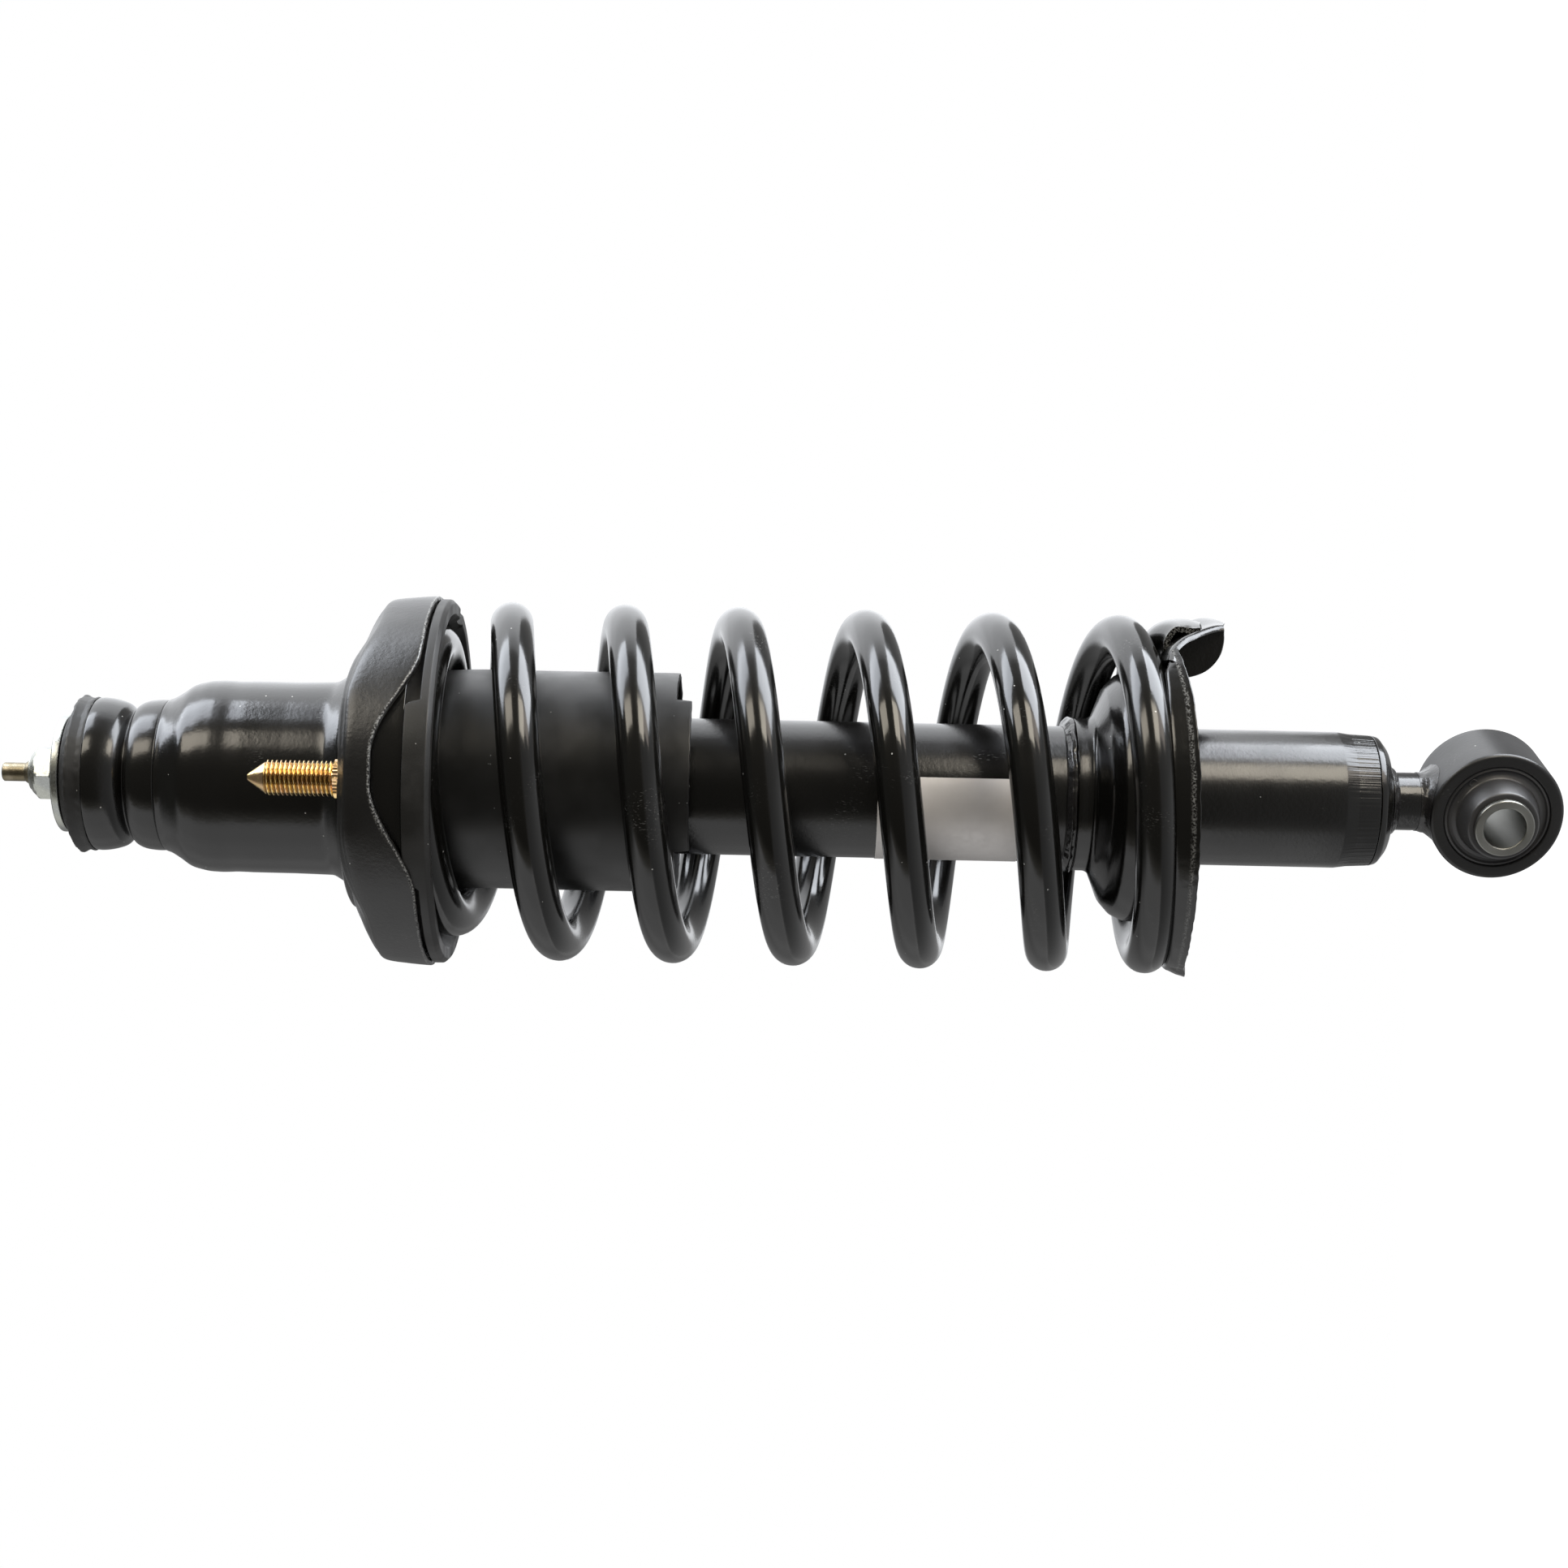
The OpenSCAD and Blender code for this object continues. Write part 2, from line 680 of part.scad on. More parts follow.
module spring_isolator() {
    w = seat_cup_wall + soft_gap;
    inner_r = cover_d / 2 + cover_room;
    plug_r = cup_skirt_r - w;
    channel_r = end_coil_r + wire_r + channel_room;
    channel_top = upper_seat_z + wire_r + free_gap;
    // The channel's mouth opens where the wire widens to its full radius
    mouth_r = channel_r + 2.6;
    mouth_z = -isolator_depth + 4.5;
    band_top = cup_skirt_low - soft_gap;
    color("#2a2a2c") {
        rotate_extrude($fn = 128)
            polygon([
                [inner_r, cup_roof - w],
                [plug_r - 10, cup_roof - w],
                [plug_r - 5.6, cup_roof - w - 2.5],
                [plug_r - 1.9, cup_roof - w - 5.4],
                [plug_r, cup_roof - w - 7.8],
                [plug_r, -skirt_depth - 0.8],
                [isolator_r, -skirt_depth - 0.8],
                [isolator_r, -isolator_depth + 1.2],
                [isolator_r - 1.2, -isolator_depth],
                [mouth_r, -isolator_depth],
                [channel_r + 0.4, mouth_z],
                [channel_r, channel_top],
                [inner_r, channel_top]
            ]);
        for (side = [front, back])
            rotate([0, 0, side + scallop_turn - band_half_angle])
                rotate_extrude(angle = 2 * band_half_angle, $fn = 128)
                    translate([plug_r - 1, -skirt_depth - 1.8])
                        square([isolator_r - 0.1 - plug_r + 1, band_top + skirt_depth + 1.8]);
    }
}

module dust_cover() {
    r = cover_d / 2;
    flange_top = -flange_wall - soft_gap;
    flange_t = 1.8;
    color("#232326") {
        rotate_extrude($fn = 128)
            polygon([
                [r - cover_wall, flange_top],
                [r + 3.6, flange_top],
                [r + 3.6, flange_top - flange_t],
                [r, flange_top - flange_t],
                [r, -cover_depth],
                [r - cover_wall, -cover_depth]
            ]);
        rotate([0, 0, front + 6 - tongue_angle / 2])
            rotate_extrude(angle = tongue_angle, $fn = 128)
                translate([r - cover_wall + 0.1, -cover_depth - tongue_len])
                    square([cover_wall - 0.2, tongue_len + 1]);
    }
}

module bump_stop() {
    top = rod_shoulder - soft_gap;
    lobe = bump_len / 3;
    color("#3a3630")
        rotate_extrude($fn = 96)
            polygon(concat(
                [[rod_r + free_gap, bump_low]],
                [for (k = [0:24])
                    let (z = k * bump_len / 24)
                    [bump_r - bump_groove * pow(cos(180 * z / lobe), 2) - 2 * (1 - z / bump_len),
                        bump_low + z]],
                [[rod_r + free_gap, top]]
            ));
}

module coil_spring() {
    count = ceil(turns_all * rings_per_turn);
    color("#17181a")
        wire([for (i = [0:count]) coil_point(turns_all * i / count)], wire_r, wire_sides);
}

module piston_rod() {
    tip_low = rod_top - rod_tip_len;
    color("#8d8780")
        rotate_extrude($fn = 96)
            polygon([
                [0, rod_top],
                [rod_tip_d / 2 - 0.4, rod_top],
                [rod_tip_d / 2, rod_top - 0.4],
                [rod_tip_d / 2, tip_low],
                [rod_thread_d / 2 - thread_chamfer, nut_top],
                [rod_thread_d / 2, nut_top - thread_chamfer],
                [rod_thread_d / 2, rod_shoulder],
                [rod_r, rod_shoulder],
                [rod_r, piston_top + shims_h],
                [spindle_r, piston_top + shims_h],
                [spindle_r, rod_low],
                [0, rod_low]
            ]);
}

module rebound_stop() {
    color("#6d6f72")
        ring(rod_r + run_gap, rebound_d / 2, rebound_top - rebound_h, rebound_top);
}

module shims(z) {
    leaf = shims_h / 3;
    color("#9a9c9f")
        for (k = [0:2])
            ring(spindle_r + run_gap, piston_r - 2 - k, z + k * leaf, z + (k + 1) * leaf);
}

module upper_shims() {
    shims(piston_top);
}

module piston() {
    top = piston_top;
    low = top - piston_h;
    mid = top - piston_h / 2;
    port_r = (spindle_r + piston_r) / 2;
    color("#7b7d80")
        difference() {
            rotate_extrude($fn = 96)
                polygon([
                    [spindle_r + run_gap, low],
                    [piston_r, low],
                    [piston_r, mid - band_h / 2],
                    [piston_r - 1, mid - band_h / 2],
                    [piston_r - 1, mid + band_h / 2],
                    [piston_r, mid + band_h / 2],
                    [piston_r, top],
                    [spindle_r + run_gap, top]
                ]);
            for (a = [0:60:300])
                rotate([0, 0, a])
                    translate([port_r, 0, low - 1])
                        cylinder(h = piston_h + 2, r = 1.2, $fn = 32);
        }
}

module piston_band() {
    mid = piston_top - piston_h / 2;
    color("#4c3f2c")
        ring(piston_r - 1 + run_gap, band_r, mid - band_h / 2 + run_gap, mid + band_h / 2 - run_gap);
}

module lower_shims() {
    translate([0, 0, 2 * (piston_top - piston_h)])
        mirror([0, 0, 1])
            shims(piston_top - piston_h);
}

module piston_nut() {
    top = piston_top - piston_h - shims_h;
    color("#a3a5a8")
        difference() {
            translate([0, 0, top - piston_nut_h])
                hexagon(nut_flats, piston_nut_h);
            translate([0, 0, top - piston_nut_h - 1])
                cylinder(h = piston_nut_h + 2, r = spindle_r + run_gap, $fn = 64);
        }
}

module strut_tube() {
    lip_r = tube_in - 2.4;
    edge = 0.8;
    swage_top = -tube_bottom + swage_len;
    color("#1d1e20")
        rotate_extrude($fn = 128)
            polygon([
                [lip_r, tube_top],
                [tube_r - edge, tube_top],
                [tube_r, tube_top - edge],
                [tube_r, swage_top],
                [swage_r, swage_top - 1],
                [swage_r, -tube_bottom],
                [swage_r - tube_wall, -tube_bottom],
                [swage_r - tube_wall, swage_top - 0.6],
                [tube_in, swage_top + 0.6],
                [tube_in, tube_top - tube_lip],
                [lip_r, tube_top - tube_lip]
            ]);
}

module tube_cap() {
    color("#55575a")
        ring(rod_r + free_gap, tube_in - run_gap, cap_top - cap_t, cap_top);
}

module rod_seal() {
    top = guide_top - run_gap;
    color("#2b2320")
        ring(rod_r + run_gap, seal_r, top - seal_h, top);
}

module rod_guide() {
    seal_floor = guide_top - seal_h - 2 * run_gap;
    color("#85878a")
        rotate_extrude($fn = 96)
            polygon([
                [rod_r + run_gap, guide_low],
                [pressure_in - run_gap, guide_low],
                [pressure_in - run_gap, guide_low + spigot_h],
                [tube_in - run_gap, guide_low + spigot_h],
                [tube_in - run_gap, guide_top],
                [seal_r + run_gap, guide_top],
                [seal_r + run_gap, seal_floor],
                [rod_r + run_gap, seal_floor]
            ]);
}

module pressure_tube() {
    color("#a8a9ab")
        ring(pressure_in, pressure_r, valve_low + valve_flange_h + run_gap, pressure_top);
}

module base_valve() {
    foot_r_in = swage_r - tube_wall - 1.2;
    color("#7b7d80")
        difference() {
            rotate_extrude($fn = 96)
                polygon([
                    [0, valve_low],
                    [foot_r_in, valve_low],
                    [foot_r_in, valve_low + valve_flange_h],
                    [pressure_in - run_gap, valve_low + valve_flange_h],
                    [pressure_in - run_gap, valve_top],
                    [0, valve_top]
                ]);
            for (a = [0:90:270])
                rotate([0, 0, a])
                    translate([pressure_in / 2, 0, valve_low + valve_flange_h])
                        cylinder(h = base_valve_h, r = 1.5, $fn = 32);
        }
}

module tube_end() {
    plug_r = swage_r - tube_wall - run_gap;
    foot = stem_r + 1;
    rim_z = -tube_bottom - run_gap;
    low = -tube_bottom - dome_h;
    color("#1d1e20")
        rotate_extrude($fn = 128)
            polygon(concat(
                [[0, valve_low - run_gap], [plug_r, valve_low - run_gap], [plug_r, rim_z]],
                [for (a = [0:15:75])
                    [foot + (swage_r - foot) * cos(a), rim_z - dome_h * sin(a)]],
                [[foot, low], [0, low]]
            ));
}

module lower_seat() {
    w = seat_wall;
    color("#202124")
        rotate_extrude($fn = 128)
            polygon([
                [seat_in, neck_top],
                [neck_r, neck_top],
                [neck_r, pilot_top + 1.6],
                [neck_r + 2.5, pilot_top + 0.2],
                [mix(neck_r, pilot_r, 0.5), pilot_top - 1.2],
                [mix(neck_r, pilot_r, 0.78), pilot_top - 3.4],
                [pilot_r - 0.6, pilot_top - 7.6],
                [pilot_r, pilot_top - 11],
                [groove_in_r - 1.4, seat_floor + 5],
                [groove_in_r + 0.2, seat_floor + 1.6],
                [groove_in_r + 2.4, seat_floor],
                [seat_r - 2.4, seat_floor],
                [seat_r - 0.6, seat_floor - 0.8],
                [seat_r, seat_floor - 2.4],
                [seat_r, seat_floor - seat_rim_h],
                [seat_r - w, seat_floor - seat_rim_h],
                [seat_r - w, seat_floor - w],
                [groove_in_r + 1.4, seat_floor - w],
                [groove_in_r - 2, seat_floor - 0.6],
                [pilot_r - w - 0.4, seat_floor + 5],
                [pilot_r - w, pilot_top - 11],
                [pilot_r - w - 0.6, pilot_top - 8.6],
                [mix(neck_r, pilot_r, 0.72) - w / 2, pilot_top - 5.4],
                [mix(neck_r, pilot_r, 0.4), pilot_top - w - 1],
                [seat_in, pilot_top - w]
            ]);
}

module seat_weld() {
    color("#26272a")
        rotate_extrude($fn = 96)
            polygon([
                [seat_in, neck_top + run_gap],
                [neck_r + 0.3, neck_top + run_gap],
                [neck_r + 0.2, neck_top + seat_weld_h * 0.45],
                [mix(seat_in, neck_r, 0.6), neck_top + seat_weld_h * 0.9],
                [seat_in, neck_top + seat_weld_h]
            ]);
}

module spring_stop() {
    inner_r = groove_in_r + 2.6;
    w = seat_wall - 0.4;
    low = seat_floor;
    top = seat_floor + wire_r + 2;
    color("#202124")
        rotate([0, 0, wire_end_angle - stop_angle - 2])
            rotate_extrude(angle = stop_angle, $fn = 128)
                polygon([
                    [inner_r, low],
                    [inner_r, top - 3],
                    [inner_r + 2, top - 0.8],
                    [coil_r, top],
                    [seat_r - 2.4, top - 0.9],
                    [seat_r - 0.6, top - 3.4],
                    [seat_r - 0.6, low + 1],
                    [seat_r - 2.4, low],
                    [seat_r - 2.4 - w / 2, low],
                    [seat_r - 0.6 - w, low + 2],
                    [seat_r - 0.6 - w, top - 4],
                    [seat_r - 2.4 - w * 0.8, top - 2.8],
                    [coil_r, top - w],
                    [inner_r + w, top - w - 1.4],
                    [inner_r + w, low]
                ]);
}

// A saddle that hangs from the seat's floor inside its rim, with an ear on each side
module hose_bracket() {
    w = bracket_wall;
    half = bracket_gap / 2 + w;
    root_x = sqrt(pow(seat_r - seat_wall, 2) - half * half) - 2 * run_gap;
    web_x = seat_r - 0.2;
    ear_x = seat_r - 4.6 - ear_h;
    ear_root = 5;
    root_z = seat_floor - seat_wall;
    low = seat_floor - seat_rim_h - 0.6;
    tip = seat_floor - bracket_reach;
    corner = 5;
    color("#202124") {
        rotate([90, 0, 0])
            linear_extrude(2 * half, center = true)
                polygon([
                    [root_x - w, root_z],
                    [root_x, root_z],
                    [root_x, low],
                    [web_x, tip],
                    [web_x - w, tip],
                    [root_x - w, low - 1]
                ]);
        for (side = [-1, 1])
            translate([0, side * (half - w / 2), 0])
                rotate([90, 0, 0])
                    linear_extrude(w, center = true)
                        polygon(concat(
                            [[root_x - w / 2, root_z], [root_x - w / 2, low],
                                [web_x - w / 2, tip]],
                            [for (a = [0:15:90]) [ear_x + corner - corner * sin(a),
                                tip + corner - corner * cos(a)]],
                            [[ear_x, low], [ear_x + ear_root, root_z]]
                        ));
    }
}

module eye_cut(extra = 0) {
    at_eye()
        cylinder(h = 3 * eye_w, r = eye_r + extra, center = true, $fn = 128);
}

module stem() {
    top = -tube_bottom - dome_h - run_gap;
    color("#1d1e20")
        difference() {
            translate([0, 0, eye_z])
                cylinder(h = top - eye_z, r = stem_r, $fn = 96);
            eye_cut(run_gap);
        }
}

module stem_weld() {
    top = -tube_bottom - dome_h - run_gap;
    color("#26272a")
        rotate_extrude($fn = 96)
            polygon([
                [stem_r + run_gap, top],
                [stem_r + 3.4, top - 0.1],
                [stem_r + 2.6, top - 1.2],
                [stem_r + 1, top - 2.8],
                [stem_r + run_gap, top - 3.4]
            ]);
}

module eye_weld() {
    flare = 3;
    top = eye_z + eye_r + 4;
    color("#26272a")
        difference() {
            translate([0, 0, eye_z + eye_r - 3])
                cylinder(h = top - eye_z - eye_r + 3, r1 = stem_r + flare, r2 = stem_r + 0.4, $fn = 96);
            translate([0, 0, eye_z])
                cylinder(h = eye_r + 10, r = stem_r + run_gap, $fn = 96);
            eye_cut(run_gap);
        }
}

module eye_ring() {
    color("#1d1e20")
        at_eye()
            difference() {
                cylinder(h = eye_w, r = eye_r, center = true, $fn = 128);
                cylinder(h = eye_w + 2, r = eye_in, center = true, $fn = 128);
            }
}

module eye_rubber() {
    hole = sleeve_d / 2 + run_gap;
    half = rubber_w / 2;
    r = eye_in - run_gap;
    color("#2a2a2c")
        at_eye()
            rotate_extrude($fn = 96)
                polygon(concat(
                    [[hole, -collar_w / 2], [collar_r - 1, -collar_w / 2], [collar_r, -half + 1.5],
                        [collar_r + 1.2, -half + 1.5], [r - 1.6, -half - 0.6], [r, -half]],
                    [[r, half], [r - 1.6, half + 0.6], [collar_r + 1.2, half - 1.5],
                        [collar_r, half - 1.5], [collar_r - 1, collar_w / 2], [hole, collar_w / 2]]
                ));
}

module blank_label() {
    r = tube_r + run_gap;
    color("lightgray")
        rotate([0, 0, front + 11.5 - label_angle])
            rotate_extrude(angle = label_angle, $fn = 128)
                translate([r, -label_top - label_h])
                    square([foil_t, label_h]);
}

module eye_sleeve() {
    color("#8f8d88")
        at_eye()
            difference() {
                cylinder(h = sleeve_len, r = sleeve_d / 2, center = true, $fn = 96);
                cylinder(h = sleeve_len + 2, r = sleeve_bore / 2, center = true, $fn = 96);
            }
}

// Least gap between the wire's own turns, measured on points of its centre line
gap_step = 1 / rings_per_turn;
samples = [for (t = [0:gap_step:turns_all]) coil_point(t)];
self_gap = min([for (i = [0:len(samples) - 1]) for (j = [i + 8:1:len(samples) - 1])
    norm(samples[i] - samples[j])]) - wire_d;
echo(spring_self_gap = self_gap, turns = turns_all);

rod_nut();
top_washer();
upper_bush();
distance_sleeve();
lower_bush();
lower_washer();
mount_tower();
mount_flange();
mount_studs();
seat_cup();
spring_isolator();
dust_cover();
bump_stop();
coil_spring();
piston_rod();
rebound_stop();
upper_shims();
piston();
piston_band();
lower_shims();
piston_nut();
strut_tube();
tube_cap();
rod_seal();
rod_guide();
pressure_tube();
base_valve();
tube_end();
lower_seat();
seat_weld();
spring_stop();
hose_bracket();
stem();
stem_weld();
eye_weld();
eye_ring();
eye_rubber();
blank_label();
eye_sleeve();
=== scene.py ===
import math

import bmesh
import bpy
from mathutils import Matrix, Vector, noise


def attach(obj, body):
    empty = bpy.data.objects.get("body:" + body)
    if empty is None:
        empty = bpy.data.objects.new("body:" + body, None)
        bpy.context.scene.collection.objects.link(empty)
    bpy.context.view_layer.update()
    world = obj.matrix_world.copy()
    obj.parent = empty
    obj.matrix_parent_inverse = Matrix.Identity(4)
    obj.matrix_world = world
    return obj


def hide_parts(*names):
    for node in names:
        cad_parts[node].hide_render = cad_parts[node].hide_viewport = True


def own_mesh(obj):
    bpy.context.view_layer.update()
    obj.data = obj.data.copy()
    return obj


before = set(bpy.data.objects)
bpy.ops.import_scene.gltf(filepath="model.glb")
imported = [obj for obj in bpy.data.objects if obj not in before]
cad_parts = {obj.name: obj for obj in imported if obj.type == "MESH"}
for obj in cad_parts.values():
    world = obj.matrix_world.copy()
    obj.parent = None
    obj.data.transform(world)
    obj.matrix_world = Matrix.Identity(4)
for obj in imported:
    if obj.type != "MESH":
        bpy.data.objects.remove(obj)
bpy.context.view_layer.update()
print("frame loaded:", len(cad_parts), "nodes")

mm = 0.001


class Settings(dict):  # a dictionary whose values are also read as s.name
    __getattr__ = dict.__getitem__


# camera and studio
cameraSetup = Settings(
    distance=776.0,  # from the strut's axis
    aimX=1.22,
    aimZ=-123.4,
    roll=1.22,  # degrees
    focalPixels=3243.7,
    framePixels=1932,
    sensor=36.0,
    clip=(0.05, 20),  # metres
)


def makeCamera(s):
    data = bpy.data.cameras.new("camera")
    data.sensor_width = s.sensor
    data.lens = s.sensor * s.focalPixels / s.framePixels
    data.clip_start, data.clip_end = s.clip
    camera = bpy.data.objects.new("camera", data)
    bpy.context.scene.collection.objects.link(camera)
    roll = math.radians(s.roll)
    right = Vector((math.sin(roll), 0, -math.cos(roll)))
    up = Vector((math.cos(roll), 0, math.sin(roll)))
    turn = Matrix((right, up, Vector((0, -1, 0)))).transposed()
    place = Vector((s.aimX, -s.distance, s.aimZ)) * mm
    camera.matrix_world = Matrix.Translation(place) @ turn.to_4x4()
    bpy.context.scene.camera = camera


# the strut lies along Z, so a lamp's place is its angle round it, from the camera towards +X,
# with its distance from the axis and its place along it
lampSetup = [
    Settings(name="warmUpper", angle=46, far=0.90, z=0.51, wide=0.36, long=0.60,
             glow=6.5, colour=(1.0, 0.92, 0.78)),
    Settings(name="coolUpper", angle=88, far=0.70, z=0.54, wide=0.50, long=0.80,
             glow=8.5, colour=(0.87, 0.92, 1.0)),
    Settings(name="warmLower", angle=46, far=0.90, z=-0.44, wide=0.42, long=0.34,
             glow=9.5, colour=(1.0, 0.92, 0.78)),
    Settings(name="warmEnd", angle=50, far=0.90, z=-0.86, wide=0.32, long=0.46,
             glow=3.5, colour=(1.0, 0.88, 0.78)),
    Settings(name="coolLower", angle=86, far=0.90, z=-0.76, wide=0.74, long=0.88,
             glow=12.0, colour=(0.9, 0.94, 1.0)),
]
lampAim = (0, 0, -0.12)


def makeLamps(setup):
    for s in setup:
        data = bpy.data.lights.new(s.name, "AREA")
        data.shape = "RECTANGLE"
        data.size, data.size_y = s.wide, s.long
        data.energy = s.glow * math.pi * s.wide * s.long
        data.color = s.colour
        lamp = bpy.data.objects.new(s.name, data)
        bpy.context.scene.collection.objects.link(lamp)
        a = math.radians(s.angle)
        place = Vector((math.sin(a) * s.far, -math.cos(a) * s.far, s.z))
        back = (place - Vector(lampAim)).normalized()
        side = Vector((0, 0, 1)).cross(back).normalized()
        turn = Matrix((side, back.cross(side), back)).transposed()
        lamp.matrix_world = Matrix.Translation(place) @ turn.to_4x4()
        lamp.visible_camera = False


# node helpers
def feed(tree, n, inputs):  # links a socket, or sets a value
    for key, value in inputs.items():
        if isinstance(value, bpy.types.NodeSocket):
            tree.links.new(value, n.inputs[key])
        else:
            n.inputs[key].default_value = value


def addNode(tree, kind, inputs=None, **settings):
    n = tree.nodes.new(kind)
    for key, value in settings.items():
        setattr(n, key, value)
    feed(tree, n, inputs or {})
    return n


def math1(tree, operation, a, b=0.0, clamp=False):
    return addNode(tree, "ShaderNodeMath", {0: a, 1: b}, operation=operation, use_clamp=clamp).outputs[0]


def ramp(tree, value, low, high, toLow=0.0, toHigh=1.0):
    return addNode(tree, "ShaderNodeMapRange", {"Value": value, "From Min": low, "From Max": high,
                   "To Min": toLow, "To Max": toHigh}, interpolation_type="SMOOTHSTEP").outputs[0]


def blendColour(tree, share, a, b):
    return addNode(tree, "ShaderNodeMix", {0: share, 6: a, 7: b}, data_type="RGBA").outputs[2]


def newGroup(name, inputs, outputs):
    tree = bpy.data.node_groups.new(name, "ShaderNodeTree")
    for label, kind, value in inputs:
        tree.interface.new_socket(label, in_out="INPUT", socket_type=kind).default_value = value
    for label, kind in outputs:
        tree.interface.new_socket(label, in_out="OUTPUT", socket_type=kind)
    return tree, tree.nodes.new("NodeGroupInput"), tree.nodes.new("NodeGroupOutput")


def millimetres(tree, stretch=(1, 1, 1)):
    place = addNode(tree, "ShaderNodeTexCoord").outputs["Object"]
    size = tuple(1000 * s for s in stretch)
    return addNode(tree, "ShaderNodeVectorMath", {0: place, 1: size}, operation="MULTIPLY").outputs[0]


def use(tree, group, inputs):
    n = addNode(tree, "ShaderNodeGroup", node_tree=group)
    feed(tree, n, inputs)
    return n.outputs


# shared effects
def noiseNode(tree, scale, detail, roughness=0.5, stretch=(1, 1, 1)):
    return addNode(tree, "ShaderNodeTexNoise", {"Vector": millimetres(tree, stretch), "Scale": scale,
                   "Detail": detail, "Roughness": roughness}).outputs["Fac"]


def markOf(tree, name):  # a value that the mesh carries
    return addNode(tree, "ShaderNodeAttribute", attribute_name=name).outputs["Fac"]


def bumpNode(tree, height, depth):
    return addNode(tree, "ShaderNodeBump", {"Height": height, "Distance": depth}).outputs["Normal"]


def makeSurfaceGrain():
    tree, given, out = newGroup("surfaceGrain", [("Per mm", "NodeSocketFloat", 1.0),
                                ("Detail", "NodeSocketFloat", 2.0), ("Depth", "NodeSocketFloat", 0.00002)],
                                [("Mask", "NodeSocketFloat"), ("Normal", "NodeSocketVector")])
    grain = noiseNode(tree, given.outputs["Per mm"], given.outputs["Detail"], 0.55)
    tree.links.new(grain, out.inputs["Mask"])
    tree.links.new(bumpNode(tree, grain, given.outputs["Depth"]), out.inputs["Normal"])
    return tree


def makeDustSpecks():
    tree, given, out = newGroup("dustSpecks", [("Per mm", "NodeSocketFloat", 0.35),
                                ("Size", "NodeSocketFloat", 0.06), ("Share", "NodeSocketFloat", 0.3)],
                                [("Mask", "NodeSocketFloat")])
    cells = addNode(tree, "ShaderNodeTexVoronoi", {"Vector": millimetres(tree),
                    "Scale": given.outputs["Per mm"]})
    dot = math1(tree, "LESS_THAN", cells.outputs["Distance"], given.outputs["Size"])
    pick = addNode(tree, "ShaderNodeSeparateColor", {0: cells.outputs["Color"]}).outputs[0]
    chosen = math1(tree, "LESS_THAN", pick, given.outputs["Share"])
    tree.links.new(math1(tree, "MULTIPLY", dot, chosen), out.inputs["Mask"])
    return tree


def makeScuffs():
    tree, given, out = newGroup("scuffs", [("Per mm", "NodeSocketFloat", 0.12),
                                ("Cover", "NodeSocketFloat", 0.35)], [("Mask", "NodeSocketFloat")])
    area = noiseNode(tree, given.outputs["Per mm"], 2.0)
    lines = noiseNode(tree, 2.6, 4.0, 0.7, (1, 1, 0.25))
    where = ramp(tree, area, math1(tree, "SUBTRACT", 0.78, given.outputs["Cover"]), 0.8)
    tree.links.new(math1(tree, "MULTIPLY", where, ramp(tree, lines, 0.58, 0.68)), out.inputs["Mask"])
    return tree


def makeTurningMarks():
    tree, given, out = newGroup("turningMarks", [("Rings per mm", "NodeSocketFloat", 4.0),
                                ("Depth", "NodeSocketFloat", 0.00001)],
                                [("Mask", "NodeSocketFloat"), ("Normal", "NodeSocketVector")])
    place = math1(tree, "MULTIPLY", markOf(tree, "turned"), given.outputs["Rings per mm"])
    rings = addNode(tree, "ShaderNodeTexNoise", {"W": place, "Detail": 3.0, "Roughness": 0.7},
                    noise_dimensions="1D").outputs["Fac"]
    tree.links.new(rings, out.inputs["Mask"])
    tree.links.new(bumpNode(tree, rings, given.outputs["Depth"]), out.inputs["Normal"])
    return tree


surfaceGrain = makeSurfaceGrain()
dustSpecks = makeDustSpecks()
scuffs = makeScuffs()
turningMarks = makeTurningMarks()


def newMaterial(name):
    material = bpy.data.materials.new(name)
    material.use_nodes = True
    tree = material.node_tree
    tree.nodes.clear()
    out = tree.nodes.new("ShaderNodeOutputMaterial")
    shader = tree.nodes.new("ShaderNodeBsdfPrincipled")
    tree.links.new(shader.outputs[0], out.inputs[0])
    return material, tree, shader


dustColour = (0.3, 0.3, 0.29, 1)
softDustColour = (0.25, 0.25, 0.24, 1)


def grainOf(tree, s, detail):
    return use(tree, surfaceGrain, {"Per mm": s.grainPerMm, "Detail": detail, "Depth": s.grainDepth})


def specksOf(tree, s, perMm, size):
    return use(tree, dustSpecks, {"Per mm": perMm, "Size": size, "Share": s.specks})[0]


def paint(s):
    material, tree, shader = newMaterial(s.name)
    marks = use(tree, scuffs, {"Per mm": 0.06, "Cover": s.scuffs})[0]
    bare = math1(tree, "MULTIPLY", markOf(tree, "worn"), ramp(tree, noiseNode(tree, 1.9, 4.0), 0.42, 0.62))
    patch = noiseNode(tree, 0.05, 3.0)
    dust = math1(tree, "MAXIMUM", specksOf(tree, s, 0.3, 0.07), math1(tree, "MULTIPLY", marks, 0.5))
    tone = blendColour(tree, dust, blendColour(tree, patch, s.colour, s.colour2), dustColour)
    polish = ramp(tree, patch, 0.3, 0.7, *s.rough)
    roughness = math1(tree, "MAXIMUM", polish, math1(tree, "MULTIPLY", bare, 0.35))
    feed(tree, shader, {"Base Color": blendColour(tree, bare, tone, s.bare), "Roughness": roughness,
                        "IOR": 1.5, "Normal": grainOf(tree, s, s.detail)["Normal"]})
    return material


